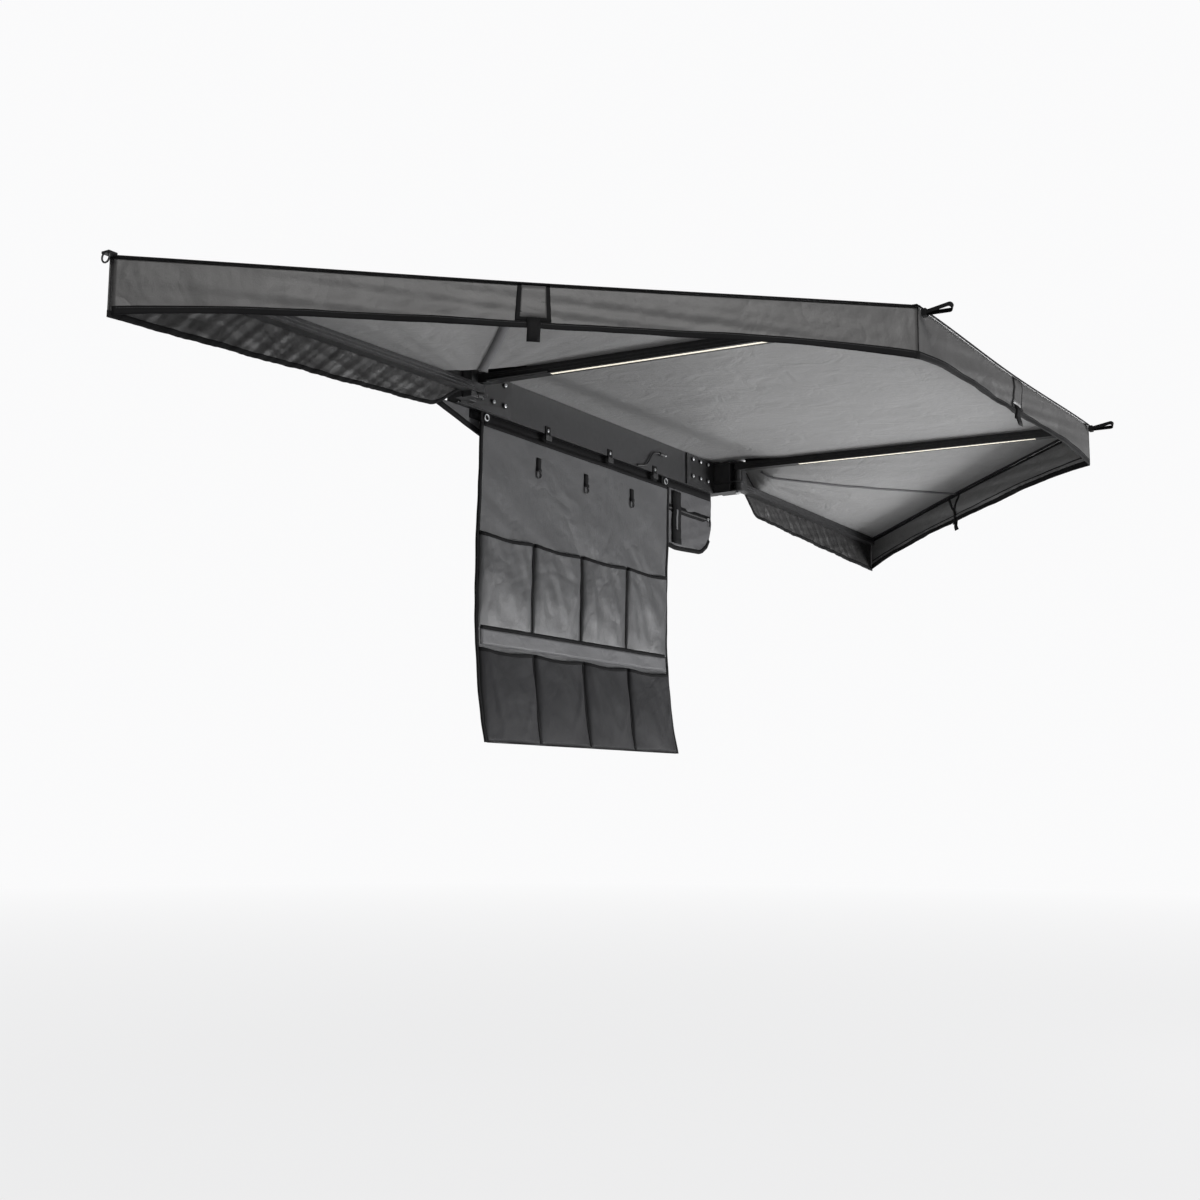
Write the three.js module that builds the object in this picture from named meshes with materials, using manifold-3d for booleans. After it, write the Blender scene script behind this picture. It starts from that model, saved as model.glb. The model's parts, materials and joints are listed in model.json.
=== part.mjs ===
// Rear vehicle awning: four swinging arms on a wall rail, with a three-part canopy and a hanging organiser.
// Millimetres. X runs along the rail, +Y points to the vehicle, Z is up.
// The origin is the centre of the rail's rear mounting face.
import * as THREE from "three";
import { mergeVertices } from "three/addons/utils/BufferGeometryUtils.js";
import Module from "manifold-3d";

const wasm = await Module();
wasm.setup();

// Rail
const RAIL_LENGTH = 1470;
const RAIL_HEIGHT = 112;
const RAIL_DEPTH = 40;
const SLOT_SPACING = 60;
const SLOT_MOUTH = 8.5;
const SLOT_LIP = 4;
const SLOT_CAVITY = 17;
const SLOT_DEPTH = 12;
const CAP_THICKNESS = 4;
const CAP_RADIUS = 5;

// Hinge brackets
const PIVOT_INSET = 22;
const PLATE_LENGTH = 230;
const PLATE_HEIGHT = 108;
const PLATE_THICKNESS = 5;
const LUG_THICKNESS = 5;
const LUG_RADIUS = 22;
const SCREW_PITCH = 53;
const SCREW_EDGE = 35;
const SCREW_HIGH = 37;
const SCREW_LOW = -22;
const SCREW_HEAD_RADIUS = 8;
const SCREW_HEAD_HEIGHT = 5.5;
const PIVOT_RADIUS = 6;
const PIVOT_HEAD_RADIUS = 10.5;
const PIVOT_HEAD_HEIGHT = 4.5;
const SPACER_RADIUS = 11;

// Arms: heights of the undersides at the hinge, droop to the tip, reach in plan
const ARM_HEIGHT = 25;
const ARM_WIDTH = 30;
const ARM_DROOP = 30;
const KNUCKLE_FLAT = 30;
const LEFT_PIVOT_REACH = 92;
const RIGHT_PIVOT_REACH = 132;
const LEFT_CENTRE_LEVEL = -8.5;
const LEFT_OUTER_LEVEL = -36.5;
const RIGHT_CENTRE_LEVEL = 19.5;
const RIGHT_OUTER_LEVEL = -50.5;
const RIGHT_OUTER_DROOP = 16;
const CORNER_INSET = 40;
const CORNER_REACH = 1333;
const TIP_SPREAD = 1207;
const TIP_REACH = 122;
const TIP_CAP_LENGTH = 9;
const TIP_CLEARANCE = 6;
const LIGHT_WIDTH = 12;
const LIGHT_DEPTH = 4;
const LIGHT_START = 235;
const LIGHT_END_INSET = 150;
const LEAD_RADIUS = 2.6;

// The light lead clipped to the rail's face, and its plug
const RAIL_LEAD_LEFT = 182;
const RAIL_LEAD_RIGHT = 352;
const RAIL_LEAD_LOW = -53;
const RAIL_LEAD_HIGH = 12;
const PLUG_RADIUS = 5.5;
const PLUG_LENGTH = 30;

// Canopy and hanging cloth
const CLOTH = 2;
const CANOPY_OVERHANG = 14;
const VALANCE_INSET = 6;
const VALANCE_END = 13;
const CANOPY_START = 66;
const CANOPY_REST_ON_RAIL = 30;
const EASE_LENGTH = 170;
const LUG_COVER = 28;
const PANEL_SAG = 9;
const WING_SAG = 14;
const EDGE_BOW = 26;
const VALANCE_MIDDLE = 96;
const VALANCE_CORNER = 24;
const VALANCE_FOLD = 4;
const SKIRT_HINGE = 84;
const SKIRT_TIP = 126;
const SKIRT_FOLD = 5;

// Webbing loops and rings
const LOOP_LENGTH = 74;
const LOOP_WIDTH = 20;
const LOOP_BAND = 28;
const WEBBING = 2.4;
const RING_RADIUS = 11;
const RING_WIRE = 2;
const TAB_WIDTH = 22;

// Organiser, its pockets, clips and eyelets
const ORGANISER_LEFT = -645;
const ORGANISER_WIDTH = 1026;
const ORGANISER_TOP = -88;
const ORGANISER_HEIGHT = 887;
const ORGANISER_THICKNESS = 3;
const EAR_WIDTH = 46;
const EAR_HEIGHT = 27;
const EYELET_HOLE = 7;
const EYELET_WIRE = 2;
const CLIP_WIDTH = 24;
const CLIP_OVERLAP = 22;
const CLIP_DROP = 15;
const POCKET_COUNT = 4;
const POCKET_WALL = 2;
const POCKET_EDGE = 6;
const UPPER_POCKET_TOP = -396;
const UPPER_POCKET_HEIGHT = 264;
const UPPER_POCKET_DEPTH = 25;
const LOWER_POCKET_TOP = -718;
const LOWER_POCKET_HEIGHT = 254;
const LOWER_POCKET_DEPTH = 30;
const BAND_HEIGHT = 46;
const HOOK_TAB_TOP = -140;
const HOOK_TAB_HEIGHT = 40;

// Travel cover, hanging folded flat under the rail
const COVER_LEFT = -826;
const COVER_RIGHT = 708;
const COVER_DROP = 225;
const COVER_THICKNESS = 9;
const ZIP_HEIGHT = 7;

// Shares of the length or height that they follow
const CLIP_SHARES = [0.3197, 0.651, 0.918];
const HOOK_SHARES = [0.268, 0.515, 0.769];
const COVER_SHARES = [
  [1, 0],
  [1, 0.56],
  [0.985, 0.82],
  [0.952, 0.96],
  [0.84, 1],
  [0.54, 0.78],
  [0.158, 0.3],
  [0.087, 0.18],
  [0, 0.02],
];
const LOOP_ROUND = 16;
const GAP = 0.3;
const OVERRUN = 5;

const railFront = -RAIL_DEPTH;
const railTop = RAIL_HEIGHT / 2;
const railBottom = -railTop;
const pivotX = RAIL_LENGTH / 2 - PIVOT_INSET;
const plateBack = railFront - GAP;
const plateFront = plateBack - PLATE_THICKNESS;
const lugGap = GAP + GAP;
const panelBack = railFront - GAP - WEBBING - GAP;
const panelFront = panelBack - ORGANISER_THICKNESS;
const lapBack = panelFront - GAP;

const colours = {
  rail: 0x2d2e30,
  arm: 0x1f2022,
  bracket: 0x3a3b3d,
  zinc: 0xb9bcbf,
  plastic: 0x18191a,
  light: 0xfff2cf,
  canopy: 0x8f8f91,
  valance: 0x636366,
  webbing: 0x8b8d90,
  organiser: 0x646669,
  mesh: 0x3c3d3f,
  cover: 0x4b4c50,
};
const finishes = {
  zinc: { roughness: 0.35, metalness: 1 },
  rail: { roughness: 0.5, metalness: 0.6 },
  arm: { roughness: 0.5, metalness: 0.6 },
  bracket: { roughness: 0.5, metalness: 0.6 },
};

const awning = new THREE.Group();
awning.name = "rear_awning";

function add(name, geometry, colour, parent = awning) {
  const finish = finishes[colour] ?? { roughness: 0.85, metalness: 0 };
  const material = new THREE.MeshStandardMaterial({ color: colours[colour], ...finish });
  const mesh = new THREE.Mesh(geometry, material);
  mesh.name = name;
  parent.add(mesh);
  return mesh;
}

// Solids for cutting and joining
function solidOf(geometry) {
  const bare = geometry.clone();
  for (const name of Object.keys(bare.attributes)) {
    if (name !== "position") bare.deleteAttribute(name);
  }
  const merged = mergeVertices(bare, 1e-4);
  return new wasm.Manifold(
    new wasm.Mesh({
      numProp: 3,
      vertProperties: merged.attributes.position.array,
      triVerts: new Uint32Array(merged.index.array),
    }),
  );
}

function geometryOf(solid) {
  const mesh = solid.getMesh();
  const geometry = new THREE.BufferGeometry();
  geometry.setAttribute("position", new THREE.BufferAttribute(mesh.vertProperties, 3));
  geometry.setIndex(new THREE.BufferAttribute(mesh.triVerts, 1));
  geometry.computeVertexNormals();
  return geometry;
}

function combine(first, joined, cuts = []) {
  let solid = solidOf(first);
  for (const piece of joined) solid = solid.add(solidOf(piece));
  for (const piece of cuts) solid = solid.subtract(solidOf(piece));
  return geometryOf(solid);
}

// A box between two corners
function block(x0, x1, y0, y1, z0, z1) {
  const geometry = new THREE.BoxGeometry(x1 - x0, y1 - y0, z1 - z0);
  return geometry.translate((x0 + x1) / 2, (y0 + y1) / 2, (z0 + z1) / 2);
}

// An upright cylinder, or a hexagon with six sides
function post(x, y, z0, z1, radius, sides = 32) {
  const geometry = new THREE.CylinderGeometry(radius, radius, z1 - z0, sides);
  return geometry.rotateX(Math.PI / 2).translate(x, y, (z0 + z1) / 2);
}

function outline(points) {
  return new THREE.Shape(points.map(([a, b]) => new THREE.Vector2(a, b)));
}

// An outline drawn in Y and Z, run along X
function alongX(shape, x0, x1) {
  const geometry = new THREE.ExtrudeGeometry(shape, { depth: x1 - x0, bevelEnabled: false });
  const turn = new THREE.Matrix4().makeBasis(
    new THREE.Vector3(0, 1, 0),
    new THREE.Vector3(0, 0, 1),
    new THREE.Vector3(1, 0, 0),
  );
  return geometry.applyMatrix4(turn).translate(x0, 0, 0);
}

// An outline drawn in X and Z, run along Y from y0 back to y1
function alongY(shape, y0, y1) {
  const geometry = new THREE.ExtrudeGeometry(shape, { depth: y1 - y0, bevelEnabled: false });
  return geometry.rotateX(Math.PI / 2).translate(0, y1, 0);
}

// An outline drawn in X and Y, run up Z
function upright(shape, z0, z1) {
  const geometry = new THREE.ExtrudeGeometry(shape, {
    depth: z1 - z0,
    bevelEnabled: false,
    curveSegments: 10,
  });
  return geometry.translate(0, 0, z0);
}

// A thin closed sheet: pointAt(u, v) gives one face, thickness(u, v) the step to the other
function sheet(pointAt, step, across, along) {
  const rows = along + 1;
  const count = (across + 1) * rows;
  const positions = new Float32Array(count * 2 * 3);
  for (let i = 0; i <= across; i += 1) {
    for (let j = 0; j <= along; j += 1) {
      const near = pointAt(i / across, j / along);
      const far = near.clone().add(step);
      near.toArray(positions, (i * rows + j) * 3);
      far.toArray(positions, (count + i * rows + j) * 3);
    }
  }
  const faces = [];
  const quad = (a, b, c, d) => faces.push(a, b, c, a, c, d);
  for (let i = 0; i < across; i += 1) {
    for (let j = 0; j < along; j += 1) {
      const a = i * rows + j;
      quad(a, a + rows, a + rows + 1, a + 1);
      quad(count + a, count + a + 1, count + a + rows + 1, count + a + rows);
    }
  }
  const wall = (a, b) => quad(b, a, count + a, count + b);
  for (let i = 0; i < across; i += 1) {
    wall(i * rows, (i + 1) * rows);
    wall((i + 1) * rows + along, i * rows + along);
  }
  for (let j = 0; j < along; j += 1) {
    wall(j + 1, j);
    wall(across * rows + j, across * rows + j + 1);
  }
  const geometry = new THREE.BufferGeometry();
  geometry.setAttribute("position", new THREE.BufferAttribute(positions, 3));
  geometry.setIndex(faces);
  if (volumeOf(positions, faces) < 0) {
    for (let k = 0; k < faces.length; k += 3) {
      [faces[k + 1], faces[k + 2]] = [faces[k + 2], faces[k + 1]];
    }
    geometry.setIndex(faces);
  }
  geometry.computeVertexNormals();
  return geometry;
}

function volumeOf(positions, faces) {
  const corner = (k) => new THREE.Vector3().fromArray(positions, faces[k] * 3);
  let volume = 0;
  for (let k = 0; k < faces.length; k += 3) {
    volume += corner(k).dot(corner(k + 1).cross(corner(k + 2)));
  }
  return volume;
}

// The four arms and the side each belongs to
const cornerX = RAIL_LENGTH / 2 - CORNER_INSET;
const tipX = RAIL_LENGTH / 2 + TIP_SPREAD;
const leftPivot = { x: -pivotX, y: -LEFT_PIVOT_REACH };
const rightPivot = { x: pivotX, y: -RIGHT_PIVOT_REACH };
const arms = {
  centre_left: {
    pivot: leftPivot,
    tip: { x: -cornerX, y: -CORNER_REACH },
    level: LEFT_CENTRE_LEVEL,
    droop: ARM_DROOP,
    lit: true,
  },
  outer_left: {
    pivot: leftPivot,
    tip: { x: -tipX, y: -TIP_REACH },
    level: LEFT_OUTER_LEVEL,
    droop: ARM_DROOP,
    lit: false,
  },
  centre_right: {
    pivot: rightPivot,
    tip: { x: cornerX, y: -CORNER_REACH },
    level: RIGHT_CENTRE_LEVEL,
    droop: ARM_DROOP,
    lit: true,
  },
  outer_right: {
    pivot: rightPivot,
    tip: { x: tipX, y: -TIP_REACH },
    level: RIGHT_OUTER_LEVEL,
    droop: RIGHT_OUTER_DROOP,
    lit: false,
  },
};

// An outer arm stops short of the wing's corner, where the valance slants across its end
function outerSetback(inner, outer) {
  const toPivot = Math.atan2(outer.pivot.y - outer.tip.y, outer.pivot.x - outer.tip.x);
  const toInner = Math.atan2(inner.tip.y - outer.tip.y, inner.tip.x - outer.tip.x);
  const corner = Math.acos(Math.cos(toInner - toPivot));
  const slant = ARM_WIDTH / Math.tan(corner);
  const valance = (VALANCE_INSET + VALANCE_FOLD) / Math.sin(corner);
  return slant + valance + TIP_CLEARANCE - CANOPY_OVERHANG;
}

for (const side of ["left", "right"]) {
  const inner = arms[`centre_${side}`];
  const outer = arms[`outer_${side}`];
  inner.setback = 0;
  outer.setback = outerSetback(inner, outer);
}
for (const arm of Object.values(arms)) {
  arm.length = Math.hypot(arm.tip.x - arm.pivot.x, arm.tip.y - arm.pivot.y);
  arm.heading = Math.atan2(arm.tip.y - arm.pivot.y, arm.tip.x - arm.pivot.x);
  arm.tipEnd = arm.length - arm.setback;
  arm.barLength = arm.tipEnd - TIP_CAP_LENGTH - GAP;
}

// How far the underside has dropped at a distance from the pivot
function dropAt(arm, distance) {
  const run = Math.max(0, distance - KNUCKLE_FLAT);
  return (-arm.droop * run) / (arm.length - KNUCKLE_FLAT);
}

// A bar of constant height that follows the arm's droop, drawn in its own frame
function droopingBar(arm, from, to, low, high, width) {
  const stations = [from];
  if (from < KNUCKLE_FLAT) stations.push(KNUCKLE_FLAT);
  stations.push(to);
  const below = stations.map((r) => [r, dropAt(arm, r) + low]);
  const above = stations.map((r) => [r, dropAt(arm, r) + high]).reverse();
  return alongY(outline([...below, ...above]), -width / 2, width / 2);
}

function makeRail() {
  const half = RAIL_HEIGHT / 2;
  const slot = (centre) => [
    [0, centre - SLOT_MOUTH / 2],
    [-SLOT_LIP, centre - SLOT_MOUTH / 2],
    [-SLOT_LIP, centre - SLOT_CAVITY / 2],
    [-SLOT_DEPTH, centre - SLOT_CAVITY / 2],
    [-SLOT_DEPTH, centre + SLOT_CAVITY / 2],
    [-SLOT_LIP, centre + SLOT_CAVITY / 2],
    [-SLOT_LIP, centre + SLOT_MOUTH / 2],
    [0, centre + SLOT_MOUTH / 2],
  ];
  const profile = outline([
    [railFront, -half],
    [0, -half],
    ...slot(-SLOT_SPACING / 2),
    ...slot(SLOT_SPACING / 2),
    [0, half],
    [railFront, half],
  ]);
  add("rail", alongX(profile, -RAIL_LENGTH / 2, RAIL_LENGTH / 2), "rail");
}

function makeRailCaps() {
  const half = RAIL_HEIGHT / 2;
  const cap = new THREE.Shape();
  cap.moveTo(0, -half);
  cap.lineTo(0, half);
  cap.lineTo(railFront + CAP_RADIUS, half);
  cap.absarc(railFront + CAP_RADIUS, half - CAP_RADIUS, CAP_RADIUS, Math.PI / 2, Math.PI, false);
  cap.absarc(railFront + CAP_RADIUS, CAP_RADIUS - half, CAP_RADIUS, Math.PI, 1.5 * Math.PI, false);
  const inner = RAIL_LENGTH / 2 + GAP;
  add("rail_cap_left", alongX(cap, -inner - CAP_THICKNESS, -inner), "plastic");
  add("rail_cap_right", alongX(cap, inner, inner + CAP_THICKNESS), "plastic");
}

// A hinge lug: a tongue from the plate to a round end about the pivot
function lug(pivot, z0, z1) {
  const shape = new THREE.Shape();
  shape.moveTo(pivot.x - LUG_RADIUS, plateBack);
  shape.lineTo(pivot.x - LUG_RADIUS, pivot.y);
  shape.absarc(pivot.x, pivot.y, LUG_RADIUS, Math.PI, 2 * Math.PI, false);
  shape.lineTo(pivot.x + LUG_RADIUS, plateBack);
  return upright(shape, z0, z1);
}

// A mounting plate with its screws and the lugs that carry the pivot
function makeBracket(side, name, pivot, lugLevels, shankLow, shankHigh) {
  const outerEnd = (side * RAIL_LENGTH) / 2;
  const innerEnd = outerEnd - side * PLATE_LENGTH;
  const plate = block(
    Math.min(innerEnd, outerEnd),
    Math.max(innerEnd, outerEnd),
    plateFront,
    plateBack,
    -PLATE_HEIGHT / 2,
    PLATE_HEIGHT / 2,
  );
  const screws = [];
  for (const height of [SCREW_LOW, SCREW_HIGH]) {
    for (let k = 0; k < 3; k += 1) {
      const x = innerEnd + side * (SCREW_EDGE + k * SCREW_PITCH);
      const head = new THREE.CylinderGeometry(
        SCREW_HEAD_RADIUS,
        SCREW_HEAD_RADIUS,
        SCREW_HEAD_HEIGHT + PLATE_THICKNESS / 2,
        6,
      );
      screws.push(head.translate(x, plateFront - SCREW_HEAD_HEIGHT / 2 + PLATE_THICKNESS / 4, height));
    }
  }
  const lugs = lugLevels.map(([z0, z1]) => lug(pivot, z0, z1));
  const bore = post(pivot.x, pivot.y, shankLow - OVERRUN, shankHigh + OVERRUN, PIVOT_RADIUS + GAP);
  add(`hinge_bracket_${name}`, combine(plate, [...screws, ...lugs], [bore]), "bracket");
  const shank = post(pivot.x, pivot.y, shankLow - GAP, shankHigh + GAP, PIVOT_RADIUS, 24);
  const head = post(
    pivot.x,
    pivot.y,
    shankHigh + GAP,
    shankHigh + GAP + PIVOT_HEAD_HEIGHT,
    PIVOT_HEAD_RADIUS,
    6,
  );
  const nut = post(
    pivot.x,
    pivot.y,
    shankLow - GAP - PIVOT_HEAD_HEIGHT,
    shankLow - GAP,
    PIVOT_HEAD_RADIUS,
    6,
  );
  add(`pivot_bolt_${name}`, combine(shank, [head, nut]), "zinc");
}

function makeBrackets() {
  const leftTop = LEFT_CENTRE_LEVEL + ARM_HEIGHT + lugGap;
  const leftLow = LEFT_OUTER_LEVEL - lugGap;
  makeBracket(
    -1,
    "left",
    leftPivot,
    [
      [leftTop, leftTop + LUG_THICKNESS],
      [leftLow - LUG_THICKNESS, leftLow],
    ],
    leftLow - LUG_THICKNESS,
    leftTop + LUG_THICKNESS,
  );
  const rightTop = RIGHT_CENTRE_LEVEL + ARM_HEIGHT + lugGap;
  const rightMiddle = RIGHT_OUTER_LEVEL + ARM_HEIGHT + lugGap;
  const rightLow = RIGHT_OUTER_LEVEL - lugGap;
  makeBracket(
    1,
    "right",
    rightPivot,
    [
      [rightTop, rightTop + LUG_THICKNESS],
      [rightMiddle, rightMiddle + LUG_THICKNESS],
      [rightLow - LUG_THICKNESS, rightLow],
    ],
    rightLow - LUG_THICKNESS,
    rightTop + LUG_THICKNESS,
  );
  makeSpacer("left", leftPivot, LEFT_OUTER_LEVEL + ARM_HEIGHT, LEFT_CENTRE_LEVEL);
  makeSpacer("right", rightPivot, rightMiddle + LUG_THICKNESS, RIGHT_CENTRE_LEVEL);
}

// The sleeve on the pivot bolt that keeps two levels apart
function makeSpacer(name, pivot, low, high) {
  const sleeve = post(pivot.x, pivot.y, low + GAP, high - GAP, SPACER_RADIUS, 24);
  const bore = post(pivot.x, pivot.y, low - OVERRUN, high + OVERRUN, PIVOT_RADIUS + GAP);
  add(`hinge_spacer_${name}`, combine(sleeve, [], [bore]), "zinc");
}

function makeArm(name, arm) {
  const group = new THREE.Group();
  group.position.set(arm.pivot.x, arm.pivot.y, arm.level);
  group.rotation.z = arm.heading;
  awning.add(group);
  const bar = droopingBar(arm, 0, arm.barLength, 0, ARM_HEIGHT, ARM_WIDTH);
  const knuckle = post(0, 0, 0, ARM_HEIGHT, ARM_WIDTH / 2);
  const cuts = [post(0, 0, -OVERRUN, ARM_HEIGHT + OVERRUN, PIVOT_RADIUS + GAP)];
  const lightEnd = arm.length - LIGHT_END_INSET;
  if (arm.lit) {
    cuts.push(droopingBar(arm, LIGHT_START, lightEnd, -OVERRUN, LIGHT_DEPTH, LIGHT_WIDTH));
  }
  add(`arm_${name}`, combine(bar, [knuckle], cuts), "arm", group);
  const capStart = arm.barLength + GAP;
  const cap = droopingBar(arm, capStart, arm.tipEnd, 0, ARM_HEIGHT, ARM_WIDTH);
  add(`arm_cap_${name}`, cap, "plastic", group);
  if (arm.lit) {
    const strip = droopingBar(
      arm,
      LIGHT_START + GAP,
      lightEnd - GAP,
      GAP,
      LIGHT_DEPTH - GAP,
      LIGHT_WIDTH - 2 * GAP,
    );
    add(`light_strip_${name}`, strip, "light", group);
  }
}

// Height of the canopy's underside along an arm
function canopyOver(arm, distance) {
  const onArm = arm.level + ARM_HEIGHT + dropAt(arm, distance) + GAP;
  const eased = Math.min(1, Math.max(0, (distance - LUG_COVER) / EASE_LENGTH));
  const atRail = railTop + GAP - (arm.level + ARM_HEIGHT + GAP);
  return onArm + atRail * (1 - eased) ** 2 * (1 + 2 * eased);
}

function lerp(a, b, share) {
  return a + (b - a) * share;
}

// A point beside an arm, at a distance from its pivot and an offset to its left
function besideArm(arm, distance, offset) {
  return {
    x: arm.pivot.x + distance * Math.cos(arm.heading) - offset * Math.sin(arm.heading),
    y: arm.pivot.y + distance * Math.sin(arm.heading) + offset * Math.cos(arm.heading),
  };
}

const clothEdge = ARM_WIDTH / 2 + GAP;
const CENTRE_CELLS = 16;
const armShare = (ARM_WIDTH + CANOPY_OVERHANG) / (2 * cornerX);

// Grid share to panel share: the first and last cells lie flat over the arms
function acrossCentre(share) {
  const cell = 1 / CENTRE_CELLS;
  if (share <= cell) return (share / cell) * armShare;
  if (share >= 1 - cell) return 1 - ((1 - share) / cell) * armShare;
  return lerp(armShare, 1 - armShare, (share - cell) / (1 - 2 * cell));
}

// The centre panel: across from the left arm to the right, out from the rail to the front hem
function centrePoint(share, v) {
  const u = acrossCentre(share);
  const railY = -RAIL_DEPTH + CANOPY_REST_ON_RAIL;
  const at = [
    [arms.centre_left, -clothEdge],
    [arms.centre_right, clothEdge],
  ].map(([arm, offset]) => {
    const start = arm.pivot.y - railY;
    const distance = lerp(start, arm.length + CANOPY_OVERHANG, v);
    const plan = besideArm(arm, distance, offset);
    return new THREE.Vector3(plan.x, plan.y, canopyOver(arm, Math.max(distance, 0)));
  });
  const between = Math.min(1, Math.max(0, (u - armShare) / (1 - 2 * armShare)));
  const height = lerp(at[0].z, at[1].z, between);
  const point = at[0].lerp(at[1], u).setZ(height);
  const hollow = Math.sin(Math.PI * between) ** 2;
  point.z -= PANEL_SAG * hollow * Math.sin(Math.PI * v) ** 2;
  point.y += EDGE_BOW * hollow * v ** 4;
  return point;
}

// A wing: across from the centre arm to the outer arm, out from the hinge to the chord between the tips
function wingPoint(side, u, v) {
  const name = side < 0 ? "left" : "right";
  const inner = arms[`centre_${name}`];
  const outer = arms[`outer_${name}`];
  const ends = [
    [inner, side * (clothEdge + GAP + GAP)],
    [outer, side * clothEdge],
  ].map(([arm, offset]) => {
    const distance = lerp(CANOPY_START, arm.length + CANOPY_OVERHANG, v);
    const plan = besideArm(arm, distance, offset);
    return new THREE.Vector3(plan.x, plan.y, canopyOver(arm, distance));
  });
  const point = ends[0].lerp(ends[1], u);
  const hollow = Math.sin(Math.PI * u) ** 2;
  const inwardX = inner.pivot.x - point.x;
  const inwardY = inner.pivot.y - point.y;
  const reach = Math.hypot(inwardX, inwardY);
  point.x += (EDGE_BOW * hollow * v ** 4 * inwardX) / reach;
  point.y += (EDGE_BOW * hollow * v ** 4 * inwardY) / reach;
  point.z -= WING_SAG * hollow * v * (1 - v) * 4 * (1 - v / 2);
  return point;
}

// Depth of a valance along its length: deeper towards both ends
function valanceDepth(u) {
  return VALANCE_MIDDLE + VALANCE_CORNER * (2 * u - 1) ** 4;
}

// A valance hanging under a canopy edge, edgeAt(u), with long soft folds
function addValance(name, edgeAt, waves) {
  const first = edgeAt(0);
  const last = edgeAt(1);
  const run = new THREE.Vector3(last.x - first.x, last.y - first.y, 0);
  const margin = VALANCE_END / run.length();
  run.normalize();
  const outward = new THREE.Vector3(run.y, -run.x, 0);
  if (outward.dot(first) < 0) outward.negate();
  const pointAt = (share, down) => {
    const u = lerp(margin, 1 - margin, share);
    const point = edgeAt(u);
    const fold = Math.sin(Math.PI * share) * Math.sin(2 * Math.PI * waves * share) * down;
    point.addScaledVector(outward, VALANCE_FOLD * fold - VALANCE_INSET);
    point.z -= GAP + down * valanceDepth(u);
    return point;
  };
  const geometry = sheet(pointAt, outward.multiplyScalar(CLOTH), 4 * waves, 3);
  add(name, geometry, "valance");
}

// The skirt behind an outer arm, from the hinge to the tip
function addSkirt(side, waves) {
  const name = side < 0 ? "left" : "right";
  const outer = arms[`outer_${name}`];
  const start = besideArm(outer, 0, 0);
  const beside = besideArm(outer, 0, side);
  const outward = new THREE.Vector3(beside.x - start.x, beside.y - start.y, 0);
  const pointAt = (share, down) => {
    const distance = lerp(CANOPY_START, outer.length + CANOPY_OVERHANG, share);
    const plan = besideArm(outer, distance, side * (clothEdge + GAP));
    const swell = (1 - Math.cos(2 * Math.PI * waves * share)) * Math.sin(Math.PI * share) * down;
    const depth = lerp(SKIRT_HINGE, SKIRT_TIP, share);
    const top = canopyOver(outer, distance);
    return new THREE.Vector3(plan.x, plan.y, top - depth * down).addScaledVector(
      outward,
      SKIRT_FOLD * swell,
    );
  };
  add(`rear_skirt_${name}`, sheet(pointAt, outward.clone().multiplyScalar(CLOTH), 4 * waves, 3), "valance");
}

function makeCanopy() {
  const up = new THREE.Vector3(0, 0, CLOTH);
  add("canopy_centre", sheet(centrePoint, up, CENTRE_CELLS, 12), "canopy");
  add("canopy_wing_left", sheet((u, v) => wingPoint(-1, u, v), up, 12, 12), "canopy");
  add("canopy_wing_right", sheet((u, v) => wingPoint(1, u, v), up, 12, 12), "canopy");
  addValance("valance_front", (u) => centrePoint(u, 1), 7);
  addValance("valance_left", (u) => wingPoint(-1, u, 1), 8);
  addValance("valance_right", (u) => wingPoint(1, u, 1), 8);
  addSkirt(-1, 7);
  addSkirt(1, 7);
}

// A ring of wire in the plane across the given turn
function ring(radius, wire, turnX, turnY) {
  const geometry = new THREE.TorusGeometry(radius, wire, 6, LOOP_ROUND);
  return geometry.rotateX(turnX).rotateY(turnY);
}

// Webbing loops at the front corners, in each centre arm's own frame
function addCornerLoop(name, arm) {
  const start = arm.length + CANOPY_OVERHANG + GAP + GAP;
  const half = LOOP_WIDTH / 2;
  const stadium = (shape, radius) => {
    const from = start + half;
    const to = start + LOOP_LENGTH - half;
    shape.moveTo(from, -radius);
    shape.lineTo(to, -radius);
    shape.absarc(to, 0, radius, -Math.PI / 2, Math.PI / 2, false);
    shape.lineTo(from, radius);
    shape.absarc(from, 0, radius, Math.PI / 2, 1.5 * Math.PI, false);
    return shape;
  };
  const shape = stadium(new THREE.Shape(), half);
  shape.holes.push(stadium(new THREE.Path(), half - WEBBING));
  const top = canopyOver(arm, arm.length + CANOPY_OVERHANG) + CLOTH - arm.level;
  const group = new THREE.Group();
  group.position.set(arm.pivot.x, arm.pivot.y, arm.level);
  group.rotation.z = arm.heading;
  awning.add(group);
  add(`corner_loop_${name}`, upright(shape, top - LOOP_BAND, top), "webbing", group);
}

// The tab and ring at the tip of each wing
function addTipRing(side, name, arm) {
  const start = arm.length + CANOPY_OVERHANG + GAP;
  const top = canopyOver(arm, arm.length + CANOPY_OVERHANG) + CLOTH - arm.level;
  const tabLength = TAB_WIDTH;
  const middle = side * (clothEdge - TAB_WIDTH / 2);
  const tab = block(
    start,
    start + tabLength,
    middle - TAB_WIDTH / 2,
    middle + TAB_WIDTH / 2,
    top - 2 * WEBBING,
    top,
  );
  const hoop = ring(RING_RADIUS, RING_WIRE, 0, Math.PI / 2);
  hoop.translate(start + tabLength - RING_WIRE, middle, top - WEBBING - RING_RADIUS);
  const group = new THREE.Group();
  group.position.set(arm.pivot.x, arm.pivot.y, arm.level);
  group.rotation.z = arm.heading;
  awning.add(group);
  add(`tip_ring_${name}`, combine(tab, [hoop]), "zinc", group);
}

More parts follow.
